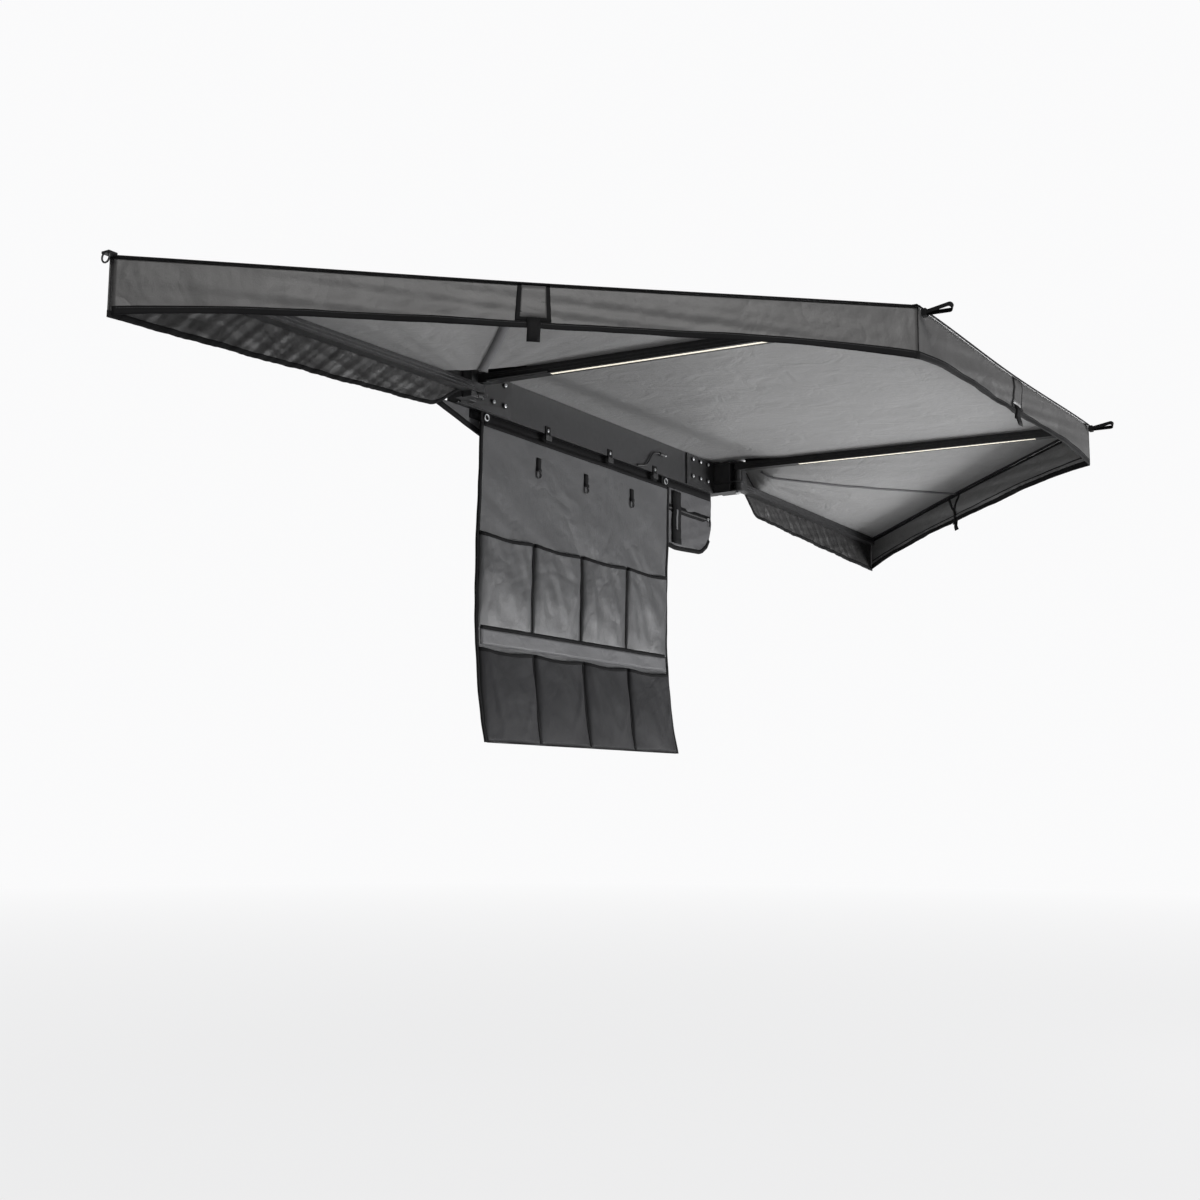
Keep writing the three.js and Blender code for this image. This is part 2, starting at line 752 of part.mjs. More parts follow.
// The lead that feeds a light strip, clipped along the outer side of its arm
function addLightLead(side, arm, name) {
  const offset = side * (ARM_WIDTH / 2 + GAP + LEAD_RADIUS);
  const from = KNUCKLE_FLAT + OVERRUN;
  const rise = LEAD_RADIUS + GAP;
  const path = new THREE.LineCurve3(
    new THREE.Vector3(from, offset, rise),
    new THREE.Vector3(LIGHT_START, offset, rise + dropAt(arm, LIGHT_START)),
  );
  const section = new THREE.Shape().absarc(0, 0, LEAD_RADIUS, 0, 2 * Math.PI, false);
  const tube = new THREE.ExtrudeGeometry(section, {
    steps: 1,
    curveSegments: 5,
    extrudePath: path,
    bevelEnabled: false,
  });
  const group = new THREE.Group();
  group.position.set(arm.pivot.x, arm.pivot.y, arm.level);
  group.rotation.z = arm.heading;
  awning.add(group);
  add(`light_lead_${name}`, tube, "plastic", group);
}

// The lead along the rail's face, from its lower edge up to the plug
function makeRailLead() {
  const y = railFront - GAP - PLUG_RADIUS;
  const middle = (RAIL_LEAD_LEFT + RAIL_LEAD_RIGHT) / 2;
  const end = RAIL_LEAD_RIGHT - PLUG_LENGTH;
  const path = new THREE.CatmullRomCurve3([
    new THREE.Vector3(RAIL_LEAD_LEFT, y, RAIL_LEAD_LOW),
    new THREE.Vector3(middle - PLUG_LENGTH, y, lerp(RAIL_LEAD_LOW, RAIL_LEAD_HIGH, 0.2)),
    new THREE.Vector3(middle + PLUG_LENGTH / 2, y, lerp(RAIL_LEAD_LOW, RAIL_LEAD_HIGH, 0.9)),
    new THREE.Vector3(end - PLUG_RADIUS, y, RAIL_LEAD_HIGH),
    new THREE.Vector3(end, y, RAIL_LEAD_HIGH),
  ]);
  const section = new THREE.Shape().absarc(0, 0, LEAD_RADIUS, 0, 2 * Math.PI, false);
  const tube = new THREE.ExtrudeGeometry(section, {
    steps: 14,
    curveSegments: 4,
    extrudePath: path,
    bevelEnabled: false,
  });
  add("rail_lead", tube, "plastic");
  const plug = new THREE.CylinderGeometry(PLUG_RADIUS, PLUG_RADIUS, PLUG_LENGTH, 16);
  plug.rotateZ(Math.PI / 2).translate(end + 2 * GAP + PLUG_LENGTH / 2, y, RAIL_LEAD_HIGH);
  add("rail_lead_plug", plug, "plastic");
}

// An open-topped row of pockets in front of the organiser panel, open at the back against it
function addPockets(name, top, height, depth) {
  const left = ORGANISER_LEFT + POCKET_EDGE;
  const right = ORGANISER_LEFT + ORGANISER_WIDTH - POCKET_EDGE;
  const pitch = (right - left - POCKET_WALL) / POCKET_COUNT;
  const front = lapBack - depth;
  const cuts = [];
  for (let k = 0; k < POCKET_COUNT; k += 1) {
    const x0 = left + k * pitch + POCKET_WALL;
    const x1 = left + (k + 1) * pitch;
    const floor = top - height + POCKET_WALL;
    cuts.push(block(x0, x1, front + POCKET_WALL, lapBack + OVERRUN, floor, top + OVERRUN));
  }
  const body = block(left, right, front, lapBack, top - height, top);
  add(name, combine(body, [], cuts), name.endsWith("lower") ? "mesh" : "organiser");
}

function makeOrganiser() {
  const left = ORGANISER_LEFT;
  const right = left + ORGANISER_WIDTH;
  const bottom = ORGANISER_TOP - ORGANISER_HEIGHT;
  const earTop = ORGANISER_TOP + EAR_HEIGHT;
  const panel = outline([
    [left, bottom],
    [right, bottom],
    [right, earTop],
    [right - EAR_WIDTH, earTop],
    [right - EAR_WIDTH, ORGANISER_TOP],
    [left + EAR_WIDTH, ORGANISER_TOP],
    [left + EAR_WIDTH, earTop],
    [left, earTop],
  ]);
  const eyeletHeight = ORGANISER_TOP + EAR_HEIGHT / 2;
  for (const x of [left + EAR_WIDTH / 2, right - EAR_WIDTH / 2]) {
    const hole = new THREE.Path().absarc(x, eyeletHeight, EYELET_HOLE, 0, 2 * Math.PI, true);
    panel.holes.push(hole);
    const eyelet = ring(EYELET_HOLE + EYELET_WIRE, EYELET_WIRE, Math.PI / 2, 0);
    eyelet.translate(x, lapBack - EYELET_WIRE, eyeletHeight);
    add(x < left + ORGANISER_WIDTH / 2 ? "eyelet_left" : "eyelet_right", eyelet, "zinc");
  }
  add("organiser_panel", alongY(panel, panelFront, panelBack), "organiser");
  addPockets("organiser_pockets_upper", UPPER_POCKET_TOP, UPPER_POCKET_HEIGHT, UPPER_POCKET_DEPTH);
  addPockets("organiser_pockets_lower", LOWER_POCKET_TOP, LOWER_POCKET_HEIGHT, LOWER_POCKET_DEPTH);
  const bandTop = UPPER_POCKET_TOP - UPPER_POCKET_HEIGHT - WEBBING;
  const inset = POCKET_EDGE;
  const band = block(left + inset, right - inset, lapBack - WEBBING, lapBack, bandTop - BAND_HEIGHT, bandTop);
  add("organiser_band", band, "webbing");
  HOOK_SHARES.forEach((share, k) => {
    const x = left + share * ORGANISER_WIDTH;
    const tab = block(
      x - TAB_WIDTH / 2,
      x + TAB_WIDTH / 2,
      lapBack - 2 * WEBBING,
      lapBack,
      HOOK_TAB_TOP - HOOK_TAB_HEIGHT,
      HOOK_TAB_TOP,
    );
    const hoop = ring(RING_RADIUS, RING_WIRE, Math.PI / 2, 0);
    hoop.translate(x, lapBack - WEBBING, HOOK_TAB_TOP - HOOK_TAB_HEIGHT - RING_RADIUS + RING_WIRE);
    add(`hook_ring_${k + 1}`, combine(tab, [hoop]), "zinc");
  });
  CLIP_SHARES.forEach((share, k) => {
    const x = left + share * ORGANISER_WIDTH;
    const strap = block(
      x - CLIP_WIDTH / 2,
      x + CLIP_WIDTH / 2,
      railFront - GAP - WEBBING,
      railFront - GAP,
      ORGANISER_TOP - CLIP_DROP,
      railBottom + CLIP_OVERLAP,
    );
    add(`hanging_clip_${k + 1}`, strap, "webbing");
  });
}

function makeCover() {
  const width = COVER_RIGHT - COVER_LEFT;
  const top = railBottom - GAP;
  const shape = outline(
    [[0, 0], ...[...COVER_SHARES].reverse()].map(([a, d]) => [COVER_LEFT + a * width, top - d * COVER_DROP]),
  );
  const back = railFront + COVER_THICKNESS + OVERRUN + COVER_THICKNESS;
  const front = back - COVER_THICKNESS;
  add("travel_cover", alongY(shape, front, back), "cover");
  const zipTop = top - COVER_DROP * 0.4;
  const zip = block(
    COVER_LEFT + width / 3,
    COVER_RIGHT - POCKET_EDGE,
    front - GAP - CLOTH,
    front - GAP,
    zipTop - ZIP_HEIGHT,
    zipTop,
  );
  add("cover_zip", zip, "mesh");
}

makeRail();
makeRailCaps();
makeBrackets();
for (const [name, arm] of Object.entries(arms)) makeArm(name, arm);
addLightLead(-1, arms.centre_left, "left");
addLightLead(1, arms.centre_right, "right");
makeRailLead();
makeCanopy();
addCornerLoop("left", arms.centre_left);
addCornerLoop("right", arms.centre_right);
addTipRing(-1, "left", arms.outer_left);
addTipRing(1, "right", arms.outer_right);
makeOrganiser();
makeCover();

export default awning;
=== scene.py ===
"""Dresses the rear vehicle awning: cloth, webbing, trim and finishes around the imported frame."""

import json
import math

import bpy
import numpy as np
from mathutils import Matrix, Vector


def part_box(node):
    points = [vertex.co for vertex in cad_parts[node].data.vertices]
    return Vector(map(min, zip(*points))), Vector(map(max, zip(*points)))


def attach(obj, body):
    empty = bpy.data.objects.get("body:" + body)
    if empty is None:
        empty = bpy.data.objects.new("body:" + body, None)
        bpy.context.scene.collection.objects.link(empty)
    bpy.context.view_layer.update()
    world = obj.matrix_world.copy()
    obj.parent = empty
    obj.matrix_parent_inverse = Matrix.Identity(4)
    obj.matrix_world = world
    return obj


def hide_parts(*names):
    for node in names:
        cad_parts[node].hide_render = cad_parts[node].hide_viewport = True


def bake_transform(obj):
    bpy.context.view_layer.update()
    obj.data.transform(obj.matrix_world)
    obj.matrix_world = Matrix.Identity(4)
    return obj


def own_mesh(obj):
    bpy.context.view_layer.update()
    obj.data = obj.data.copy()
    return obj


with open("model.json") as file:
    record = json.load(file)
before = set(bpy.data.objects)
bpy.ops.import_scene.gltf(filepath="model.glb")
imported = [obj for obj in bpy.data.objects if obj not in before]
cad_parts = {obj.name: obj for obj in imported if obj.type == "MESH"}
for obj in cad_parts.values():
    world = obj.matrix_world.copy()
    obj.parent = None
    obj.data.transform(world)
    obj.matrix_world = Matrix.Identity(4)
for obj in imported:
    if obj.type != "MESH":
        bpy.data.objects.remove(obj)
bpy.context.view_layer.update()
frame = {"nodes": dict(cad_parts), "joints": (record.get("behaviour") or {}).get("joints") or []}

bl_info = {
    "name": "Rear awning",
    "version": (1, 0, 0),
    "blender": (4, 5, 0),
    "location": "3D View > Sidebar > Awning",
    "description": "Builds the cloth, trim and finishes of a rear vehicle awning",
    "category": "Object",
}

FRAME = "frame"
MM = 0.001
UP = (0, 0, 1.0)
DOWN = (0, 0, -1.0)
FORWARD = (0, -1.0, 0)
RIGHTWARD = (1.0, 0, 0)


# Places read from the frame
def corner_low(node):
    return Vector(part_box(node)[0])


def corner_high(node):
    return Vector(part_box(node)[1])


def middle(node):
    return (corner_low(node) + corner_high(node)) / 2


def joint_place(name):
    found = next(j for j in frame["joints"] if j["name"] == name)
    return Vector(found["pos_m"])


RAIL_HIGH = corner_high("rail")
ARM_WIDTH = 30 * MM
CLOTH_GAP = 0.3 * MM
KNUCKLE_FLAT = 30 * MM
LUG_COVER = 28 * MM
EASE_LENGTH = 170 * MM
CANOPY_START = 66 * MM
RAIL_REST = 30 * MM
OVERHANG = 14 * MM
CAP_LENGTH = 9 * MM
LEFT_SETBACK = 35.4 * MM
RIGHT_SETBACK = 37.9 * MM
CLOTH_EDGE = ARM_WIDTH / 2 + CLOTH_GAP
WING_OFFSET = CLOTH_EDGE + 2 * CLOTH_GAP


class Arm:
    """One arm's line in plan and the height of its top, read from its bar and tip cap."""

    def __init__(self, name, joint, setback=0.0):
        cap = f"arm_cap_{name}"
        bar = f"arm_{name}"
        self.pivot = np.array(joint_place(joint))[:2]
        along = np.array(middle(cap))[:2] - self.pivot
        reach = float(np.hypot(*along))
        self.direction = along / reach
        self.normal = np.array((-self.direction[1], self.direction[0]))
        self.length = reach + CAP_LENGTH / 2 + setback
        self.hinge_top = corner_high(bar).z
        cap_start = reach - CAP_LENGTH / 2
        self.slope = (self.hinge_top - corner_high(cap).z) / (cap_start - KNUCKLE_FLAT)

    def top(self, distance):
        return self.hinge_top - self.slope * np.maximum(0.0, distance - KNUCKLE_FLAT)

    def cloth(self, distance):
        """Height of the canopy's underside along the arm, lifted over the hinge to the rail's top."""
        distance = np.maximum(distance, 0.0)
        share = np.clip((distance - LUG_COVER) / EASE_LENGTH, 0.0, 1.0)
        lift = RAIL_HIGH.z - self.hinge_top
        return self.top(distance) + CLOTH_GAP + lift * (1 - share) ** 2 * (1 + 2 * share)

    def point(self, distance, offset, height):
        """Points beside the arm's line, offset to its left, at the given heights."""
        distance, offset, height = np.broadcast_arrays(
            np.asarray(distance, float), np.asarray(offset, float), np.asarray(height, float))
        plan = self.pivot + distance[..., None] * self.direction + offset[..., None] * self.normal
        return np.concatenate([plan, height[..., None]], axis=-1)


ARMS = {
    "centre_left": Arm("centre_left", "left_centre_swing"),
    "centre_right": Arm("centre_right", "right_centre_swing"),
    "outer_left": Arm("outer_left", "left_outer_swing", LEFT_SETBACK),
    "outer_right": Arm("outer_right", "right_outer_swing", RIGHT_SETBACK),
}
SIDES = {"left": -1, "right": 1}


def lerp(a, b, share):
    return a + (b - a) * share


def ripple(seed, share, waves):
    """An uneven soft wave from -1 to 1 along share, the same in every run."""
    value = 0.0
    total = 0.0
    for k in range(4):
        weight = 1 / (1 + 0.6 * k)
        rate = waves * (0.57 + 0.43 * k)
        value = value + weight * np.sin(2 * math.pi * rate * share + seed * (1.7 * k + 1.0) + k * k)
        total += weight
    return value / total


# Settings a user would change
class AwningSizes(bpy.types.PropertyGroup):
    cloth: bpy.props.FloatProperty(
        name="Cloth thickness", description="Thickness of the canopy cloth",
        default=0.0012, min=0.0005, max=0.003, unit="LENGTH", precision=4)
    panel_sag: bpy.props.FloatProperty(
        name="Panel sag", description="How far the centre panel hangs between its arms",
        default=0.010, min=0.0, max=0.05, unit="LENGTH", precision=4)
    wing_sag: bpy.props.FloatProperty(
        name="Wing sag", description="How far each wing hangs between its arms",
        default=0.012, min=0.0, max=0.05, unit="LENGTH", precision=4)
    edge_bow: bpy.props.FloatProperty(
        name="Edge bow", description="Inward curve of the tensioned canopy edges",
        default=0.010, min=0.0, max=0.1, unit="LENGTH", precision=4)
    valance_middle: bpy.props.FloatProperty(
        name="Valance depth", description="Depth of a valance at its middle",
        default=0.096, min=0.05, max=0.3, unit="LENGTH", precision=4)
    valance_corner: bpy.props.FloatProperty(
        name="Extra depth at corners", description="How much deeper a valance is at its ends",
        default=0.024, min=0.0, max=0.1, unit="LENGTH", precision=4)
    skirt_hinge: bpy.props.FloatProperty(
        name="Skirt depth at the hinge", description="Depth of the rear skirt beside the hinge",
        default=0.084, min=0.02, max=0.3, unit="LENGTH", precision=4)
    skirt_tip: bpy.props.FloatProperty(
        name="Skirt depth at the tip", description="Depth of the rear skirt at the wing's tip",
        default=0.126, min=0.02, max=0.3, unit="LENGTH", precision=4)
    webbing: bpy.props.FloatProperty(
        name="Webbing thickness", description="Thickness of straps and tabs",
        default=0.0022, min=0.001, max=0.005, unit="LENGTH", precision=4)
    binding: bpy.props.FloatProperty(
        name="Binding width", description="Width of the folded tape on cloth edges",
        default=0.013, min=0.005, max=0.03, unit="LENGTH", precision=4)


def colour_property(name, description, value):
    return bpy.props.FloatVectorProperty(
        name=name, description=description, subtype="COLOR", size=3, min=0.0, max=1.0, default=value)


class AwningColours(bpy.types.PropertyGroup):
    outside: colour_property("Cloth outside", "Outer face of the canopy cloth", (0.082, 0.081, 0.081))
    inside: colour_property("Cloth inside", "Coated inner face of the canopy cloth", (0.37, 0.37, 0.37))
    binding: colour_property("Binding", "Tape on the cloth edges", (0.008, 0.008, 0.0085))
    webbing: colour_property("Webbing", "Seam straps under the side panels", (0.16, 0.16, 0.165))
    skirt: colour_property("Skirt", "Dark crumpled cloth of the rear skirts", (0.016, 0.0155, 0.0155))
    arm: colour_property("Arms", "Anodised arms", (0.009, 0.009, 0.0095))
    rail: colour_property("Rail", "Coated wall rail", (0.011, 0.011, 0.012))
    zinc: colour_property("Fasteners", "Plated bolts, rings and eyelets", (0.56, 0.57, 0.58))
    plastic: colour_property("Plastic", "Caps and plugs", (0.008, 0.008, 0.0085))
    light: colour_property("Light", "Light strip diffuser", (1.0, 0.93, 0.78))
    organiser: colour_property("Organiser", "Organiser cloth", (0.098, 0.099, 0.102))
    pocket: colour_property("Lower pockets", "Dark cloth of the lower pockets", (0.021, 0.021, 0.023))
    band: colour_property("Band", "Flat band between the pocket rows", (0.15, 0.151, 0.157))
    cover: colour_property("Travel cover", "Heavy cloth of the travel cover", (0.10, 0.10, 0.104))
    floor: colour_property("Floor", "Studio floor", (0.3, 0.3, 0.302))


# Shader node helpers
def new_group(name, inputs, outputs):
    tree = bpy.data.node_groups.new(name, "ShaderNodeTree")
    for label, kind, value in inputs:
        socket = tree.interface.new_socket(label, in_out="INPUT", socket_type=kind)
        if value is not None:
            socket.default_value = value
    for label, kind in outputs:
        tree.interface.new_socket(label, in_out="OUTPUT", socket_type=kind)
    return tree, tree.nodes.new("NodeGroupInput"), tree.nodes.new("NodeGroupOutput")


def feed(tree, socket, value):
    """Links an input to another node's output, or sets it to a plain value."""
    if isinstance(value, bpy.types.NodeSocket):
        tree.links.new(value, socket)
    else:
        socket.default_value = value


def feed_all(tree, node, **inputs):
    """Feeds a node's inputs by name; an underscore in a name stands for a space."""
    for label, value in inputs.items():
        feed(tree, node.inputs[label.replace("_", " ")], value)
    return node


def add_node(tree, kind, **inputs):
    return feed_all(tree, tree.nodes.new(kind), **inputs)


def maths(tree, operation, a, b=None):
    node = tree.nodes.new("ShaderNodeMath")
    node.operation = operation
    for socket, value in zip(node.inputs, (a, b)):
        if value is not None:
            feed(tree, socket, value)
    return node.outputs[0]


def weave_group():
    """Crossing threads on the cloth's own metre coordinates, with a coarser ripstop grid."""
    tree, source, result = new_group(
        "Weave",
        [("Vector", "NodeSocketVector", None), ("Threads per metre", "NodeSocketFloat", 900.0),
         ("Grid per metre", "NodeSocketFloat", 160.0), ("Grid strength", "NodeSocketFloat", 0.5)],
        [("Height", "NodeSocketFloat"), ("Grid", "NodeSocketFloat")])
    split = add_node(tree, "ShaderNodeSeparateXYZ", Vector=source.outputs["Vector"])
    rate = source.outputs["Threads per metre"]
    threads = []
    for axis in (0, 1):
        turns = maths(tree, "MULTIPLY", split.outputs[axis], rate)
        threads.append(maths(tree, "SINE", maths(tree, "MULTIPLY", turns, 2 * math.pi)))
    plain = maths(tree, "MULTIPLY", threads[0], threads[1])
    lines = []
    for axis in (0, 1):
        turns = maths(tree, "MULTIPLY", split.outputs[axis], source.outputs["Grid per metre"])
        rise = maths(tree, "COSINE", maths(tree, "MULTIPLY", turns, 2 * math.pi))
        lines.append(maths(tree, "GREATER_THAN", rise, 0.93))
    grid = maths(tree, "MAXIMUM", lines[0], lines[1])
    strong = maths(tree, "MULTIPLY", grid, source.outputs["Grid strength"])
    height = maths(tree, "ADD", maths(tree, "MULTIPLY", plain, 0.5), strong)
    feed(tree, result.inputs["Height"], height)
    feed(tree, result.inputs["Grid"], strong)
    return tree


def mottle_group():
    """Uneven colour: a colour varied in two scales."""
    tree, source, result = new_group(
        "Uneven colour",
        [("Vector", "NodeSocketVector", None), ("Colour", "NodeSocketColor", (0.5, 0.5, 0.5, 1)),
         ("Scale", "NodeSocketFloat", 5.0), ("Amount", "NodeSocketFloat", 0.15),
         ("Mask", "NodeSocketFloat", 0.0)],
        [("Colour", "NodeSocketColor")])
    values = []
    for times in (1.0, 7.0):
        scale = maths(tree, "MULTIPLY", source.outputs["Scale"], times)
        noise = add_node(tree, "ShaderNodeTexNoise", Vector=source.outputs["Vector"], Scale=scale, Detail=4)
        values.append(maths(tree, "SUBTRACT", noise.outputs["Fac"], 0.5))
    both = maths(tree, "ADD", values[0], maths(tree, "MULTIPLY", values[1], 0.6))
    shift = maths(tree, "MULTIPLY", both, source.outputs["Amount"])
    shade = maths(tree, "ADD", maths(tree, "MULTIPLY", shift, 2.0), 1.0)
    shade = maths(tree, "ADD", shade, maths(tree, "MULTIPLY", source.outputs["Mask"], 0.12))
    mixed = tree.nodes.new("ShaderNodeVectorMath")
    mixed.operation = "SCALE"
    feed(tree, mixed.inputs[0], source.outputs["Colour"])
    feed(tree, mixed.inputs["Scale"], shade)
    feed(tree, result.inputs["Colour"], mixed.outputs[0])
    return tree


def crease_group():
    """Soft creases and finer crumples as one height."""
    tree, source, result = new_group(
        "Creases",
        [("Vector", "NodeSocketVector", None), ("Scale", "NodeSocketFloat", 6.0),
         ("Fine", "NodeSocketFloat", 0.3)],
        [("Height", "NodeSocketFloat")])
    where, scale = source.outputs["Vector"], source.outputs["Scale"]
    noise = add_node(tree, "ShaderNodeTexNoise", Vector=where, Scale=scale, Detail=3, Distortion=0.8)
    ridge = maths(tree, "ABSOLUTE", maths(tree, "SUBTRACT", noise.outputs["Fac"], 0.5))
    fine = add_node(tree, "ShaderNodeTexNoise", Vector=where, Scale=maths(tree, "MULTIPLY", scale, 9.0),
                    Detail=5)
    small = maths(tree, "MULTIPLY", fine.outputs["Fac"], source.outputs["Fine"])
    feed(tree, result.inputs["Height"], maths(tree, "ADD", ridge, small))
    return tree


def wear_group():
    """Edges rubbed lighter where the surface turns sharply, broken up by noise."""
    tree, source, result = new_group(
        "Edge wear",
        [("Vector", "NodeSocketVector", None), ("Colour", "NodeSocketColor", (0.1, 0.1, 0.1, 1)),
         ("Worn", "NodeSocketColor", (0.4, 0.4, 0.4, 1)), ("Amount", "NodeSocketFloat", 0.5)],
        [("Colour", "NodeSocketColor"), ("Mask", "NodeSocketFloat")])
    shape = tree.nodes.new("ShaderNodeNewGeometry")
    noise = add_node(tree, "ShaderNodeTexNoise", Vector=source.outputs["Vector"], Scale=60, Detail=5)
    edge = add_node(tree, "ShaderNodeMapRange", Value=shape.outputs["Pointiness"],
                    From_Min=0.53, From_Max=0.62)
    broken = maths(tree, "MULTIPLY", edge.outputs[0], noise.outputs["Fac"])
    mask = maths(tree, "MULTIPLY", broken, source.outputs["Amount"])
    mix = tree.nodes.new("ShaderNodeMix")
    mix.data_type = "RGBA"
    feed(tree, mix.inputs["Factor"], mask)
    feed(tree, mix.inputs["A"], source.outputs["Colour"])
    feed(tree, mix.inputs["B"], source.outputs["Worn"])
    feed(tree, result.inputs["Colour"], mix.outputs["Result"])
    feed(tree, result.inputs["Mask"], mask)
    return tree


def grain_group():
    """Fine grain of powder coat, moulded plastic and brushed metal."""
    tree, source, result = new_group(
        "Grain",
        [("Vector", "NodeSocketVector", None), ("Scale", "NodeSocketFloat", 900.0),
         ("Roughness", "NodeSocketFloat", 0.5), ("Spread", "NodeSocketFloat", 0.15)],
        [("Height", "NodeSocketFloat"), ("Roughness", "NodeSocketFloat")])
    where = source.outputs["Vector"]
    noise = add_node(tree, "ShaderNodeTexNoise", Vector=where, Scale=source.outputs["Scale"], Detail=2)
    broad = add_node(tree, "ShaderNodeTexNoise", Vector=where, Scale=9, Detail=5)
    change = maths(tree, "MULTIPLY", maths(tree, "SUBTRACT", broad.outputs["Fac"], 0.5),
                   source.outputs["Spread"])
    feed(tree, result.inputs["Height"], noise.outputs["Fac"])
    feed(tree, result.inputs["Roughness"], maths(tree, "ADD", source.outputs["Roughness"], change))
    return tree


GROUP_MAKERS = {
    "Weave": weave_group,
    "Uneven colour": mottle_group,
    "Creases": crease_group,
    "Edge wear": wear_group,
    "Grain": grain_group,
}


def place_group(tree, name, **values):
    """A node that uses one of the groups, which is made the first time."""
    group = bpy.data.node_groups.get(name) or GROUP_MAKERS[name]()
    node = tree.nodes.new("ShaderNodeGroup")
    node.node_tree = group
    return feed_all(tree, node, **values)


def start_material(name):
    found = bpy.data.materials.new(name)
    found.use_nodes = True
    tree = found.node_tree
    return found, tree, tree.nodes["Principled BSDF"]


def bump(tree, height, strength, distance, under=None):
    """The normal of a surface raised by a height, on top of another bump if there is one."""
    node = add_node(tree, "ShaderNodeBump", Height=height, Strength=strength, Distance=distance)
    if under is not None:
        feed(tree, node.inputs["Normal"], under)
    return node.outputs["Normal"]


def rgba(colour):
    return (*colour, 1.0)


CREASE_RELIEF = 0.016
THREAD_RELIEF = 0.0004
GRAIN_RELIEF = 0.0004


def cloth_material(name, colour, threads=900.0, grid=450.0, grid_strength=0.2, crease=0.5,
                   roughness=0.7, sheen=0.05, amount=0.1, shine=0.3, folds=7.0):
    """Woven cloth: threads, ripstop grid, creases and an uneven tone."""
    found, tree, shader = start_material(name)
    where = tree.nodes.new("ShaderNodeTexCoord")
    solid = where.outputs["Object"]
    weave = place_group(tree, "Weave", Vector=where.outputs["UV"], Threads_per_metre=threads,
                        Grid_per_metre=grid, Grid_strength=grid_strength)
    tone = place_group(tree, "Uneven colour", Vector=solid, Colour=rgba(colour), Scale=4.0,
                       Amount=amount, Mask=weave.outputs["Grid"])
    creases = place_group(tree, "Creases", Vector=solid, Scale=folds, Fine=0.12)
    soft = bump(tree, creases.outputs["Height"], crease, CREASE_RELIEF)
    fine = bump(tree, weave.outputs["Height"], 0.25, THREAD_RELIEF, soft)
    grain = place_group(tree, "Grain", Vector=solid, Scale=300.0, Roughness=roughness, Spread=0.2)
    feed_all(tree, shader, Base_Color=tone.outputs["Colour"], Normal=fine,
             Roughness=grain.outputs["Roughness"], Sheen_Weight=sheen, Sheen_Roughness=0.5,
             Specular_IOR_Level=shine)
    return found


def hard_material(name, colour, worn, roughness=0.45, metallic=0.0, wear=0.5, grain=900.0, spread=0.15):
    """Coated metal, plated metal or moulded plastic with a fine grain and rubbed edges."""
    found, tree, shader = start_material(name)
    solid = tree.nodes.new("ShaderNodeTexCoord").outputs["Object"]
    tone = place_group(tree, "Uneven colour", Vector=solid, Colour=rgba(colour), Scale=6.0, Amount=0.12)
    edge = place_group(tree, "Edge wear", Vector=solid, Colour=tone.outputs["Colour"], Worn=rgba(worn),
                       Amount=wear)
    fine = place_group(tree, "Grain", Vector=solid, Scale=grain, Roughness=roughness, Spread=spread)
    feed_all(tree, shader, Base_Color=edge.outputs["Colour"], Roughness=fine.outputs["Roughness"],
             Normal=bump(tree, fine.outputs["Height"], 0.15, GRAIN_RELIEF), Metallic=metallic)
    return found


LAMPS_PER_METRE = 60


def light_material(name, colour):
    """Frosted diffuser over a row of small lamps, seen as slightly brighter spots."""
    found, tree, shader = start_material(name)
    solid = tree.nodes.new("ShaderNodeTexCoord").outputs["Object"]
    split = add_node(tree, "ShaderNodeSeparateXYZ", Vector=solid)
    turns = maths(tree, "MULTIPLY", split.outputs["Y"], 2 * math.pi * LAMPS_PER_METRE)
    lamps = maths(tree, "MULTIPLY", maths(tree, "SINE", turns), 0.5)
    tone = place_group(tree, "Uneven colour", Vector=solid, Colour=rgba(colour), Scale=8.0,
                       Amount=0.03, Mask=lamps)
    feed_all(tree, shader, Base_Color=tone.outputs["Colour"], Emission_Color=tone.outputs["Colour"],
             Emission_Strength=0.75, Roughness=0.4)
    return found


THREAD_COLOUR = (0.06, 0.06, 0.062)


